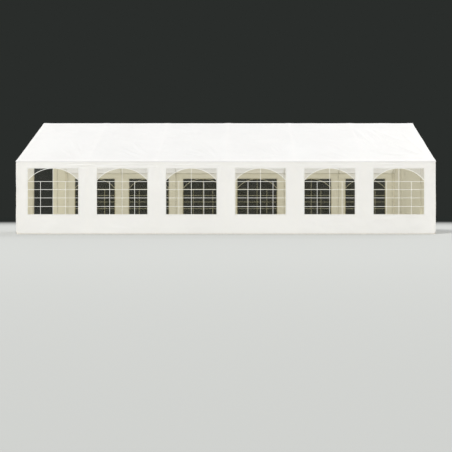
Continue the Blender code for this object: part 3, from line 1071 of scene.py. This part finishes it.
BAR_FINISH = plastic("white_welded_strip", "F4F3EE", "FCFBF7", 6.0, 0.45, through=0.3)
BORDER_FINISH = plastic("white_welded_border", "EAE9E5", "F0EFEB", 3.0, 0.5, through=0.4)
WELD_LINE, tree = new_material("clear_weld_line")  # where a strip's underside melts into the film
clear = add(tree, "ShaderNodeBsdfTransparent", {"Color": colour("FBFBFA")})
add(tree, "ShaderNodeOutputMaterial", {"Surface": clear})

# %% Bars and frames on all the windows
ON_FILM = 0.0004
ON_CLOTH = 0.0004
OVER_EDGE = 0.003  # the frame strip covers the cut edge of the cloth by this


def shifted(place, u, v, lift):
    """A place whose flat coordinates start at u and v, raised by lift."""
    return lambda x, y, z: place(x + u, y + v, z + lift)


x, y = HALF_WINDOW, HEAD - SILL
edge, out = OVER_EDGE, FRAME_STRIP
borders = {
    "head": ((-x - out, y - edge), (x + out, y + out)),
    "sill": ((-x - out, -out), (x + out, edge)),
    "left_jamb": ((-x - out, edge), (-x + edge, y - edge)),
    "right_jamb": ((x - edge, edge), (x + out, y - edge)),
}
strips = [flat_strip(name, *corners, STRIP_THICK["frame"]) for name, corners in borders.items()]
flat_frame = joined(strips, "flat_frame")
for flat, finish in ((flat_bars, BAR_FINISH), (flat_frame, BORDER_FINISH)):
    flat.data.materials.append(finish)
    flat.data.materials.append(WELD_LINE)
    for face in flat.data.polygons:
        face.material_index = 1 if face.normal.z < -0.5 else 0
here = Matrix.Identity(4)
for side in ("front", "rear"):
    frames = []
    for number, centre in window_centres(side).items():
        set_of_bars = copied(flat_bars, f"{side}_window_{number}_bars", here)
        lay(set_of_bars, shifted(film_place(side, centre), centre, SILL - HEM_Z, ON_FILM))
        crisp(set_of_bars)
        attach(set_of_bars, "root")
        strip = copied(flat_frame, "frame", here)
        lay(strip, shifted(long_wall_place(side, LONG_RELIEF[side]), centre, SILL - HEM_Z, ON_CLOTH))
        frames.append(strip)
    frame_strips = joined(frames, f"{side}_window_frames")
    crisp(frame_strips)
    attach(frame_strips, "root")
print("bars:", len(flat_bars.data.polygons), "faces a window")
remove(flat_bars, flat_frame)

# %% [markdown]
# The gables are cut from a plain rectangle: the doorway is left out, and the top is cut off
# along both slopes of the roof, just under its sheet. Their folds hang from the rafters and
# from the head of the doorway, and are kept shallow beside the posts. The long walls' flaps
# cover their upright edges.

# %% Gable walls
GABLE_HALF = WALL_PLANE - 0.002
UNDER_ROOF = TUBE - 0.001  # height of the gable's top edge over the rafters' axes
GABLE_SWELL = 0.012
RAFTER_HOLD, EDGE_HOLD = 0.18, 0.15  # widths over which the cloth comes free
GABLE_PEGGED = (0.12, 0.3)
POST_HOLD = (0.6, 0.12)  # share of the folds taken away at a post, and how far from it


def gable_top(u):
    """Height of a gable's top edge over the lower one."""
    return RIDGE.z + UNDER_ROOF / math.cos(SLOPE) - np.abs(u) * math.tan(SLOPE) - HEM_Z


def gable_place(side, relief):
    """Returns where a flat point of a gable lies."""

    def place(u, v, height):
        z, bead_in = lower_edge(u, v, GABLE_HALF)
        return stand(side, u, relief(u, v) + height + bead_in, z, GABLE_PLANE)

    return place


def gable_folds(seed):
    """Folds from the doorway's head, down the sides and under the ridge."""
    draw = np.random.default_rng(seed)
    found = []
    for end in (-1, 1):
        for _ in range(4):
            u = end * (DOOR_HALF + draw.uniform(0.05, 0.2))
            start = np.array([u, DOOR_HEAD + draw.uniform(-0.15, 0.15)])
            stop = start + np.array([end * draw.uniform(0.5, 1.3), draw.uniform(-0.7, 0.35)])
            found.append(drawn_fold(draw, start, stop, 0.07, (0.03, 0.05), (0.006, 0.012)))
        for _ in range(5):
            u = end * draw.uniform(DOOR_HALF + 0.2, GABLE_HALF - 0.25)
            start = np.array([u, draw.uniform(1.2, 1.9)])
            stop = start + np.array([end * draw.uniform(-0.35, 0.35), -draw.uniform(0.5, 1.1)])
            found.append(drawn_fold(draw, start, stop, 0.08, (0.03, 0.055), (0.006, 0.012)))
        for _ in range(3):
            start = np.array([end * draw.uniform(0.1, 0.4), draw.uniform(2.75, 3.2)])
            stop = np.array([end * draw.uniform(0.8, 1.6), draw.uniform(2.42, 2.7)])
            found.append(drawn_fold(draw, start, stop, 0.05, (0.025, 0.04), (0.004, 0.009)))
    return found


def gable_relief(seed):
    """Returns how far a gable stands out at its flat points."""
    routes = gable_folds(seed)

    def relief(u, v):
        top = np.clip((gable_top(u) - v) / RAFTER_HOLD, 0, 1)
        side_hold = np.clip((GABLE_HALF - np.abs(u)) / EDGE_HOLD, 0, 1)
        pegged = np.clip(v / GABLE_PEGGED[0], GABLE_PEGGED[1], 1)
        posts = 1 - POST_HOLD[0] * np.exp(-(((np.abs(u) - DOOR_HALF) / POST_HOLD[1]) ** 2))
        swell = GABLE_SWELL * np.sin(math.pi * np.clip(v / 3.0, 0, 1)) ** 0.8
        loose = waves(u, v, seed + 1, 1.1, 0.002) + waves(u, v, seed + 2, 0.3, 0.0006)
        free = swell * side_hold + folds(u, v, routes) + loose
        return np.maximum(free * top * posts * pegged, -0.001)

    return relief


GABLE_RELIEF = {"left": gable_relief(303), "right": gable_relief(404)}


def in_doorway(u, v):
    """Whether flat points are in the doorway."""
    return (np.abs(u) < DOOR_HALF) & (v < DOOR_HEAD - HEM_Z)


def cut_slopes(piece):
    """Cuts off what lies over the two slopes of a flat gable."""
    cut = bmesh.new()
    cut.from_mesh(piece.data)
    for end in (-1, 1):
        bmesh.ops.bisect_plane(
            cut,
            geom=cut.verts[:] + cut.edges[:] + cut.faces[:],
            dist=1e-6,
            plane_co=(0, PEAK_TOP, 0),
            plane_no=(end * SIN, COS, 0),
            clear_outer=True,
        )
    cut.to_mesh(piece.data)
    cut.free()


PEAK_TOP = float(gable_top(0.0))
for side in ("left", "right"):
    across = marks([-GABLE_HALF, -DOOR_HALF, 0, DOOR_HALF, GABLE_HALF], CELL)
    upward = np.array(bead_down + list(marks([0, DOOR_HEAD - HEM_Z, PEAK_TOP], CELL)))
    gable = flat_cut(f"{side}_gable_sheet", across, upward, in_doorway)
    cut_slopes(gable)
    lay(gable, gable_place(side, GABLE_RELIEF[side]))
    gable.data.materials.append(WALL_CLOTH)
    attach(gable, "root")
    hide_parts(f"{side}_gable_wall")

# %% [markdown]
# The right doorway is closed by a panel of the same cloth. It lies behind the doorway's edges
# and is held by a long zip on each side. The panel of the left doorway is rolled up to the
# inside and hangs from the head of the doorway in three straps. Its cloth is one spiral whose
# length is the panel's height, so the ends of the roll show their turns.

# %% The closed door
BEHIND_EDGE = 0.0016
DOOR_LAP = 0.03  # the panel reaches behind the edges of the doorway by this


def door_folds():
    """Folds that hang in the closed door, and three faint ones across it from its packing."""
    draw = np.random.default_rng(505)
    found = []
    for _ in range(9):
        start = np.array([draw.uniform(-0.9, 0.9), draw.uniform(1.3, 2.2)])
        stop = start + np.array([draw.uniform(-0.3, 0.3), -draw.uniform(0.5, 1.2)])
        found.append(drawn_fold(draw, start, stop, 0.08, (0.03, 0.06), (0.007, 0.014)))
    for height in (0.55, 1.12, 1.7):
        found.append((((-1.1, height), (0.0, height + 0.012), (1.1, height - 0.01)), 0.02, 0.008))
    return found


DOOR_FOLDS = door_folds()
DOOR_SWELL = 0.014
DOOR_HOLD = 0.2  # from the zips and the head, over which the door swells
SQUARE_CORNERS = 9.0  # a half width past which the lower edge would round


def door_place(u, v, height):
    """The closed door: it follows the gable at its edges and swells between the zips."""
    z, bead_in = lower_edge(u, v, SQUARE_CORNERS)
    edge = np.clip((DOOR_HALF - np.abs(u)) / DOOR_HOLD, 0, 1)
    head = np.clip((DOOR_HEAD - HEM_Z - v) / DOOR_HOLD, 0, 1)
    swell = DOOR_SWELL * edge * head + folds(u, v, DOOR_FOLDS) * np.minimum(edge, head)
    out = GABLE_RELIEF["right"](u, v) * (1 - edge * head) + swell - BEHIND_EDGE + height + bead_in
    return stand("right", u, out, z, GABLE_PLANE)


door_reach = DOOR_HALF + DOOR_LAP
door_top = DOOR_HEAD - HEM_Z + DOOR_LAP
door = flat_cut(
    "right_door_sheet",
    marks([-door_reach, -DOOR_HALF, 0, DOOR_HALF, door_reach], CELL),
    np.array(bead_down + list(marks([0, DOOR_HEAD - HEM_Z, door_top], CELL))),
)
lay(door, door_place)
door.data.materials.append(WALL_CLOTH)
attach(door, "root")
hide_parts("right_door_panel")

# %% The rolled-up door
ROLL_LOW, ROLL_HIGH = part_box("left_door_roll")
ROLL_AXIS = (ROLL_LOW + ROLL_HIGH) / 2
ROLL_RADIUS = (ROLL_HIGH.z - ROLL_LOW.z) / 2 - 0.004
ROLL_CORE = 0.012  # radius of the hollow in the roll
ROLL_HALF = ROLL_HIGH.y - 0.01
STRAP_PLACES = (-0.8, 0.0, 0.8)  # along the roll
ROLLED = DOOR_HEAD - 0.10  # length of the panel's cloth in the roll
ROLL_PITCH = math.pi * (ROLL_RADIUS**2 - ROLL_CORE**2) / ROLLED
ROLL_TURNS = (ROLL_RADIUS - ROLL_CORE) / ROLL_PITCH
TURN_STEPS = 26  # grid lines in a turn
ALONG_ROLL = 0.045  # their spacing along the roll
PINCH = (0.09, 0.05)  # share that a strap pinches in, and how far from its middle
ROLL_SAG = (0.008, 0.4)  # between the straps, and how far it is from one to the middle
CREEP = (0.006, 0.1)  # how far the turns slip at the roll's ends, and over which length


def roll_place(y, turn, height):
    """A point at y along the roll after so many turns from its core, pinched in by the straps."""
    near = np.min([np.abs(y - strap) for strap in STRAP_PLACES], axis=0)
    pinch = 1 - PINCH[0] * np.exp(-((near / PINCH[1]) ** 2))
    slack = 1 + 0.05 * np.sin(2 * turn + 3 * y) + 0.02 * waves(y, turn, 606, 0.5, 1.0)
    radius = (ROLL_CORE + ROLL_PITCH * turn) * pinch * np.clip(slack, 0.9, 1.0) + height
    angle = 2 * math.pi * (turn - ROLL_TURNS)
    near_end = np.clip((np.abs(y) - ROLL_HALF + CREEP[1]) / CREEP[1], 0, 1)
    creep = CREEP[0] * np.sin(5.1 * turn) * np.sign(y) * near_end
    sag = ROLL_SAG[0] * np.sin(math.pi * np.clip(near / ROLL_SAG[1], 0, 1))
    z = ROLL_AXIS.z + radius * np.cos(angle) - sag
    return ROLL_AXIS.x - radius * np.sin(angle), y + creep, z


turns = np.linspace(0, ROLL_TURNS, math.ceil(ROLL_TURNS * TURN_STEPS) + 1)
roll = flat_cut("left_door_roll_sheet", marks([-ROLL_HALF, 0, ROLL_HALF], ALONG_ROLL), turns)
lay(roll, roll_place)
for corner in roll.data.uv_layers["cloth"].data:  # turns become metres of cloth
    radius = ROLL_CORE + ROLL_PITCH * corner.uv[1]
    corner.uv[1] = math.pi * (radius**2 - ROLL_CORE**2) / ROLL_PITCH
roll.data.materials.append(WALL_CLOTH)
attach(roll, "root")
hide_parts("left_door_roll")

# %% [markdown]
# The straps are woven polyester webbing, 25 mm wide. Each is a band round the roll: a short
# cylinder without its ends, given its thickness, with a moulded buckle in front and a tail
# that hangs down. The webbing's ribs are 2.5 mm on the real strap, and drawn 5 mm wide.


# %% Webbing and plastic
def webbing(name, light, dark):
    """Dull woven polyester with ribs across it and a little fuzz."""
    material, tree = new_material(name)
    solid = add(tree, "ShaderNodeTexCoord").outputs["Object"]
    weave = {"Vector": solid, "Scale": 62.0, "Distortion": 0.6}
    ribs = add(tree, "ShaderNodeTexWave", weave, bands_direction="DIAGONAL")
    fuzz = add(tree, "ShaderNodeTexNoise", {"Vector": solid, "Scale": 60.0, "Detail": 3.0})
    bump = add(tree, "ShaderNodeBump", {"Height": ribs, "Distance": 0.0006, "Strength": 0.8})
    shade = blended(tree, dark, light, fuzz)
    settings = {"Base Color": shade, "Roughness": 0.75, "Normal": bump, "Sheen Weight": 0.3}
    face = add(tree, "ShaderNodeBsdfPrincipled", settings)
    add(tree, "ShaderNodeOutputMaterial", {"Surface": face})
    return material


WEBBING = webbing("white_webbing", "EAE9E4", "D6D4CC")
ZIP_TAPE = webbing("zip_tape", "E4E2DB", "CFCCC3")
ZIP_COIL = plastic("nylon_coil", "A9A8A3", "C9C8C3", 12.0, 0.4, 0.0006)
GREY_PLASTIC = plastic("grey_polypropylene", "3C3F41", "55585A", 12.0, 0.45)
BALL_PLASTIC = plastic("white_ball_plastic", "DAD9D3", "EDEDE9", 12.0, 0.4)
print("webbing, tapes, coils and plastics mixed")

# %% Straps on the roll
STRAP = 0.025  # width
STRAP_THICK = 0.0014
STRAP_RADIUS = ROLL_RADIUS * 0.93  # the straps pinch the roll
TAIL = 0.16  # length of the hanging end


def roll_strap(y):
    """A strap round the roll, with its buckle and its hanging tail."""
    centre = Vector((ROLL_AXIS.x, y, ROLL_AXIS.z - 0.001))
    half = Vector((0, STRAP / 2, 0))
    loop = pipe("loop", centre - half, centre + half, STRAP_RADIUS + STRAP_THICK, STRAP_THICK)
    inside = ROLL_AXIS.x - STRAP_RADIUS
    tail = rounded_block("tail", (-0.0007, y - STRAP / 2, -TAIL), (0.0007, y + STRAP / 2, 0), 0.0004)
    pick(tail, "FACE", lambda face: True)
    bpy.ops.mesh.subdivide(number_cuts=6)
    bpy.ops.object.mode_set(mode="OBJECT")
    for point in tail.data.vertices:
        point.co.x += inside - 0.006 + 0.010 * math.sin(2.4 * point.co.z / TAIL)
        point.co.z += ROLL_AXIS.z - 0.02
    return joined([loop, tail], "strap")


straps = [roll_strap(y) for y in STRAP_PLACES]
buckles = [
    rounded_block(
        "buckle",
        (ROLL_AXIS.x - STRAP_RADIUS - 0.009, y - 0.018, ROLL_AXIS.z - 0.024),
        (ROLL_AXIS.x - STRAP_RADIUS + 0.002, y + 0.018, ROLL_AXIS.z + 0.014),
        0.003,
    )
    for y in STRAP_PLACES
]
straps = joined(straps, "left_door_straps")
straps.data.materials.append(WEBBING)
buckles = joined(buckles, "left_door_buckles")
buckles.data.shade_smooth()
buckles.data.materials.append(GREY_PLASTIC)
for piece in (straps, buckles):
    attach(piece, "root")
print("straps on the roll at", STRAP_PLACES)

# %% [markdown]
# A zip is a tape with a nylon coil down its middle and a slider on the coil. The closed door
# has a whole zip on each side. Beside the open doorway the gable keeps its half of the zips.
# The tapes are flat strips, laid on the gable as the window strips are. The coil's teeth are
# too fine to model, and a grain in its finish stands in for them.

# %% Zips
ZIP_WIDTH = 0.036  # over both halves of the tape
ZIP_STEP = 0.06  # between the lines of a strip's grid
TAPE_THICK, TAPE_LIFT = 0.0009, 0.0007
COIL_WIDTH = 0.008
COIL_HIGH, COIL_LIFT = 0.0032, 0.0014
COIL_FOOT = 0.004
HEAD_GAP = 0.02  # the coil ends this far under the doorway's head
ZIP_TOP = DOOR_HEAD - HEM_Z


def zip_strip(name, middle_u, width, thick, lift, low, high):
    """A flat upright strip with its middle at u."""
    half = width / 2
    return flat_strip(name, (middle_u - half, low), (middle_u + half, high), thick, ZIP_STEP, lift)


def zips(side, u_tape, u_coil, tape_width):
    """The tapes and coils on a gable, one pair each side of its doorway."""
    place = gable_place(side, GABLE_RELIEF[side])
    tapes, coils = [], []
    for end in (-1, 1):
        tape = ("tape", end * u_tape, tape_width, TAPE_THICK, TAPE_LIFT, 0.0, ZIP_TOP)
        coil = ("coil", end * u_coil, COIL_WIDTH, COIL_HIGH, COIL_LIFT, COIL_FOOT, ZIP_TOP - HEAD_GAP)
        tapes.append(zip_strip(*tape))
        coils.append(zip_strip(*coil))
    tapes, coils = joined(tapes, f"{side}_zip_tapes"), joined(coils, f"{side}_zip_coils")
    broken_edges(coils, 0.0014)
    for piece, finish in ((tapes, ZIP_TAPE), (coils, ZIP_COIL)):
        lay(piece, place)
        crisp(piece)
        piece.data.materials.append(finish)
        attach(piece, "root")


zips("right", DOOR_HALF, DOOR_HALF, ZIP_WIDTH)
zips("left", DOOR_HALF + ZIP_WIDTH / 4, DOOR_HALF + COIL_WIDTH / 2, ZIP_WIDTH / 2)
SLIDER_HEIGHT = 0.09  # on the closed zips, at their lower ends


def slider(side, u, v):
    """A zip's slider with its pull tab."""
    place = gable_place(side, GABLE_RELIEF[side])
    x, y, z = place(np.array([u]), np.array([v]), np.array([0.004]))
    here = Vector((float(x[0]), float(y[0]), float(z[0])))
    out = 1 if side == "right" else -1
    low, high = Vector((-0.004, -0.007, -0.012)), Vector((0.005, 0.007, 0.012))
    body = rounded_block("slider", here + low, here + high, 0.002)
    tab = rounded_block(
        "tab",
        here + Vector((0.004 * out, 0, -0.055)) - Vector((0.001, 0.005, 0)),
        here + Vector((0.004 * out, 0, -0.006)) + Vector((0.001, 0.005, 0)),
        0.0008,
    )
    return joined([body, tab], "slider")


pair = [slider("right", end * DOOR_HALF, SLIDER_HEIGHT) for end in (-1, 1)]
sliders = joined(pair, "right_zip_sliders")
sliders.data.shade_smooth()
sliders.data.materials.append(GREY_PLASTIC)
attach(sliders, "root")
print("zips on both gables")

# %% [markdown]
# The frame is steel tube, 38 mm wide with a wall of 1.2 mm, powder-coated white. The powder
# melts into a satin skin with a fine ripple, which painters call orange peel. Its bumps are
# 1 mm wide on the real tube, and drawn 5 mm wide. Handling has left it a little grey in places.


# %% Powder-coated steel
def powder_coat():
    """Satin white with a fine ripple, a little greyer where hands have been."""
    material, tree = new_material("white_powder_coat")
    solid = add(tree, "ShaderNodeTexCoord").outputs["Object"]
    peel = add(tree, "ShaderNodeTexNoise", {"Vector": solid, "Scale": 200.0, "Detail": 1.0})
    touch = {"Vector": solid, "Scale": 5.0, "Detail": 6.0, "Roughness": 0.65}
    handled = add(tree, "ShaderNodeTexNoise", touch)
    worn = add(tree, "ShaderNodeMapRange", {"Value": handled, "From Min": 0.35, "From Max": 0.7})
    gloss = add(tree, "ShaderNodeMapRange", {"Value": handled, "To Min": 0.28, "To Max": 0.5})
    bump = add(tree, "ShaderNodeBump", {"Height": peel, "Distance": 0.0004, "Strength": 0.4})
    shade = blended(tree, "F8F7F3", "ECEAE4", worn)
    settings = {"Base Color": shade, "Roughness": gloss, "IOR": 1.5, "Normal": bump}
    face = add(tree, "ShaderNodeBsdfPrincipled", settings)
    add(tree, "ShaderNodeOutputMaterial", {"Surface": face})
    return material


POWDER_COAT = powder_coat()
print("powder coat mixed for the frame")

# %% [markdown]
# The tubes plug into connectors: at every crossing a sleeve runs along the tent and sockets run
# along the rafters and legs, welded to the sleeve. Sockets and sleeves are wider tubes with a
# wall of 5 mm and broken edges. The weld follows the saddle where two equal tubes meet. Each
# socket has a welded nut and a wing screw that clamps the tube.

# %% Parts of the frame
TUBE_WALL = 0.0012
SOCKET = (0.012, 0.15)  # a socket's start and end, measured from its crossing
SLEEVE_HALF = 0.065  # half the length of a sleeve
SLEEVE_WALL = 0.005
BROKEN_EDGE = 0.0008
PLATE = (0.12, 0.12, 0.006)
PEG_HOLE = 0.0055  # radius
PEG_INSET = 0.018  # from the plate's edges
WELD = 0.0028  # radius of the bead
SCREW_ROUNDS = [  # sides, radius, length, height of the middle and rounding of the edges
    ("nut", 6, 0.0085, 0.008, 0.004, 0.0006),
    ("shank", 16, 0.004, 0.022, 0.011, 0),
    ("hub", 20, 0.0065, 0.008, 0.018, 0.001),
]
UP = Vector((0, 0, 1))
ALONG = Vector((1, 0, 0))


def facing(axis, place):
    """Turns +Z to an axis and moves to a place."""
    return Matrix.Translation(place) @ Vector(axis).to_track_quat("Z", "Y").to_matrix().to_4x4()


def saddle_matrix(axis, place):
    """Turns +Z to an axis square to X, and keeps +X along the tent."""
    z = Vector(axis).normalized()
    y = z.cross(ALONG)
    turn = Matrix((ALONG, y, z)).transposed().to_4x4()
    return Matrix.Translation(place) @ turn


def socket_pipe(name, start, end, radius=SLEEVE):
    """A stout connector tube with broken edges."""
    return broken_edges(pipe(name, start, end, radius, SLEEVE_WALL), BROKEN_EDGE)


def weld_ring(place, axis, saddle):
    """A weld bead round an axis. On a saddle it follows a sleeve of the same width along X."""
    deselect()
    bpy.ops.mesh.primitive_torus_add(
        major_radius=SLEEVE if saddle else TUBE + 0.001,
        minor_radius=WELD,
        major_segments=40,
        minor_segments=8,
    )
    bead = named("weld")
    lumps = np.random.default_rng(707)
    for point in bead.data.vertices:
        point.co *= 1 + lumps.normal(0, 0.006)
        if saddle:
            point.co.z += SLEEVE * abs(point.co.y) / max(math.hypot(point.co.x, point.co.y), 1e-6)
    if saddle:
        bead.data.transform(saddle_matrix(axis, place) @ Matrix.Rotation(math.pi / 2, 4, "Z"))
    else:
        bead.data.transform(facing(axis, place))
    bead.data.shade_smooth()
    return bead


def wing_screw():
    """A welded nut, a screw and its two wings, which point along +Z from the tube's face."""
    parts = []
    for name, sides, radius, length, height, rounding in SCREW_ROUNDS:
        deselect()
        place = (0, 0, height)
        bpy.ops.mesh.primitive_cylinder_add(vertices=sides, radius=radius, depth=length, location=place)
        parts.append(named(name))
        if rounding:
            modifier(parts[-1], "BEVEL", width=rounding, segments=2)
    for turn in (math.pi, 0):
        wing = rounded_block("wing", (-0.0014, 0.004, 0.017), (0.0014, 0.019, 0.029), 0.0012)
        wing.data.transform(Matrix.Rotation(turn, 4, "Z"))
        parts.append(wing)
    return joined(parts, "wing_screw")


SCREW = wing_screw()
print("wing screw:", len(SCREW.data.polygons), "faces")


def screw_on(name, centre, outward, radius=SLEEVE):
    """A wing screw on the face of a socket."""
    return copied(SCREW, name, facing(outward, centre + outward * (radius - 0.001)))


def foot_plate(centre):
    """The foot: a plate with broken edges and a hole for a peg near each corner."""
    low = centre - Vector((PLATE[0] / 2, PLATE[1] / 2, 0))
    plate = rounded_block("plate", low, low + Vector(PLATE), BROKEN_EDGE)
    pegs = []
    reach = (PLATE[0] / 2 - PEG_INSET, PLATE[1] / 2 - PEG_INSET)
    for across in (-1, 1):
        for along in (-1, 1):
            spot = centre + Vector((across * reach[0], along * reach[1], 0))
            deselect()
            bpy.ops.mesh.primitive_cylinder_add(vertices=20, radius=PEG_HOLE, depth=0.05, location=spot)
            pegs.append(named("peg"))
    holes = joined(pegs, "holes")
    modifier(plate, "BOOLEAN", operation="DIFFERENCE", solver="EXACT", object=holes)
    remove(holes)
    return plate


def upright_tube(foot_centre, axis_place, top):
    """A leg or a post, welded to its foot."""
    base = Vector((axis_place.x, axis_place.y, PLATE[2] - 0.0005))
    tube = pipe("tube", base, Vector((axis_place.x, axis_place.y, top)), TUBE, TUBE_WALL)
    bead = weld_ring(Vector((axis_place.x, axis_place.y, PLATE[2])), UP, False)
    return [tube, foot_plate(foot_centre), bead]


def finished(piece, node):
    """Shades a steel piece and puts it in place of its node."""
    crisp(piece)
    piece.data.materials.append(POWDER_COAT)
    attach(piece, "root")
    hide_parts(node)


# %% Legs and gable posts
LEG_TOP = EAVE.z - SLEEVE - 0.001
for row, side in (("front", -1), ("rear", 1)):
    centre = middle(f"{row}_leg_1")
    centre.z = 0
    leg = joined(upright_tube(centre, Vector((FRAMES[0], side * HALF_SPAN, 0)), LEG_TOP), "leg")
    for number, x in enumerate(FRAMES, start=1):
        node = f"{row}_leg_{number}"
        place = Matrix.Translation((x - FRAMES[0], 0, 0))
        finished(copied(leg, f"{node}_steel", place), node)
    remove(leg)

CRADLE = (0.09, 0.0298)  # depth and outer radius of the cradle that tops a gable post
CRADLE_SCREW = 0.025  # over the cradle's lower end
for end, x in (("left", FRAMES[0]), ("right", FRAMES[-1])):
    for row, side in (("front", -1), ("rear", 1)):
        node = f"{end}_gable_post_{row}"
        foot = middle(node)
        foot.z = 0
        joint = Vector((x, side * HALF_SPAN / 2, (EAVE.z + RIDGE.z) / 2))
        inward = Vector((1 if end == "left" else -1, 0, 0))
        parts = upright_tube(foot, joint, joint.z - SLEEVE)
        low, high = joint - UP * CRADLE[0], joint - UP * SLEEVE / 2
        parts.append(socket_pipe("cradle", low, high, CRADLE[1]))
        parts.append(screw_on("screw", joint - UP * (CRADLE[0] - CRADLE_SCREW), inward, CRADLE[1]))
        finished(joined(parts, f"{node}_steel"), node)
print("14 legs and 4 gable posts")

# %% Rafter pairs
SOCKET_SCREW = 0.035  # from the socket's end
eaves = {side: Vector((0, side * HALF_SPAN, EAVE.z)) for side in (-1, 1)}
peak = Vector((0, 0, RIDGE.z))
parts = []
crossings = [peak]
for side, eave in eaves.items():
    up_slope = (peak - eave).normalized()
    half_way = (eave + peak) / 2
    inward = up_slope.cross(ALONG) * -side
    crossings += [eave, half_way]
    parts.append(pipe("rafter", eave + up_slope * TUBE, peak - up_slope * TUBE, TUBE, TUBE_WALL))
    sockets = [
        (eave, up_slope, inward),
        (half_way, up_slope, inward),
        (half_way, -up_slope, inward),
        (peak, -up_slope, inward),
        (eave, -UP, Vector((0, -side, 0))),
    ]
    for start, way, inner_side in sockets:
        parts.append(socket_pipe("socket", start + way * SOCKET[0], start + way * SOCKET[1]))
        parts.append(weld_ring(start, way, True))
        parts.append(screw_on("screw", start + way * (SOCKET[1] - SOCKET_SCREW), inner_side))
for place in crossings:
    parts.append(socket_pipe("sleeve", place - ALONG * SLEEVE_HALF, place + ALONG * SLEEVE_HALF))
pair = joined(parts, "rafter_pair")
for number, x in enumerate(FRAMES, start=1):
    node = f"rafter_pair_{number}"
    finished(copied(pair, f"{node}_steel", Matrix.Translation((x, 0, 0))), node)
print("rafter pair:", len(pair.data.polygons), "faces, seven of them")
remove(pair, SCREW)

# %% [markdown]
# The purlins run along the tent through the sleeves. Their ends are closed by moulded plugs.
# Between the frames, at every half metre, elastic loops with a ball tie the roof's cloth to the
# eave purlins, and webbing bands hold the walls to the legs.

# %% Purlins, plugs and ties
PLUG_RADIUS = TUBE - 0.0013  # a slide fit in the tube
PLUG_LENGTH = 0.02
PLUG_INSET = 0.0102  # from the tube's end to the plug's middle
ELASTIC = 0.0022  # radius of the loops' cord
BALL = 0.0125
BAND_OUT, BAND_THICK = 0.0022, 0.0018  # how far a band stands out from the leg
TIE_STEPS = (0.5, 1.0, 1.5)  # along each bay
BAND_HEIGHTS = (0.5, 1.05, 1.6)
PURLINS = {
    "ridge_purlin": peak,
    "front_eave_purlin": eaves[-1],
    "rear_eave_purlin": eaves[1],
    "front_mid_purlin": (eaves[-1] + peak) / 2,
    "rear_mid_purlin": (eaves[1] + peak) / 2,
}
plugs = []
for node, line in PURLINS.items():
    reach = ALONG * (FRAME_END - 0.0005)
    finished(pipe(f"{node}_steel", line - reach, line + reach, TUBE, TUBE_WALL), node)
    for end in (-1, 1):
        outer = line + reach * end
        deselect()
        bpy.ops.mesh.primitive_cylinder_add(
            vertices=ROUND_SIDES,
            radius=PLUG_RADIUS,
            depth=PLUG_LENGTH,
            location=outer - ALONG * end * PLUG_INSET,
            rotation=(0, math.pi / 2, 0),
        )
        plugs.append(broken_edges(named("plug"), 0.0015))
plugs = joined(plugs, "purlin_end_plugs")
only(plugs)
settle()
plugs.data.materials.append(GREY_PLASTIC)
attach(plugs, "root")


def ball_tie():
    """An elastic loop round a purlin along X, with its ball inside the tent at -Y."""
    deselect()
    bpy.ops.mesh.primitive_torus_add(
        major_radius=TUBE + ELASTIC,
        minor_radius=ELASTIC,
        major_segments=28,
        minor_segments=8,
        rotation=(0, math.pi / 2, 0),
    )
    loop = named("loop")
    settle()
    deselect()
    inside = (0, -TUBE - 0.012, -0.012)
    bpy.ops.mesh.primitive_uv_sphere_add(segments=18, ring_count=12, radius=BALL, location=inside)
    ball = named("ball")
    settle()
    return loop, ball


loop, ball = ball_tie()
loops, balls, bands = [], [], []
for x in FRAMES[:-1]:
    for step in TIE_STEPS:
        for side in (-1, 1):
            mirror = Matrix.Scale(side, 4, (0, 1, 0))
            place = Matrix.Translation(eaves[side] + ALONG * (x + step)) @ mirror
            loops.append(copied(loop, "loop", place))
            balls.append(copied(ball, "ball", place))
for x in FRAMES:
    for side in (-1, 1):
        for height in BAND_HEIGHTS:
            low = Vector((x, side * HALF_SPAN, height))
            bands.append(pipe("band", low, low + UP * STRAP, TUBE + BAND_OUT, BAND_THICK))
remove(loop, ball)
TIES = {
    "eave_elastic_loops": (loops, WEBBING),
    "eave_balls": (balls, BALL_PLASTIC),
    "leg_bands": (bands, WEBBING),
}
for name, (parts, finish) in TIES.items():
    tied = joined(parts, name)
    only(tied)
    bpy.ops.object.mode_set(mode="EDIT")
    faces_out()
    crisp(tied)
    tied.data.materials.append(finish)
    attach(tied, "root")
print("purlins, plugs and", len(loops), "ties")
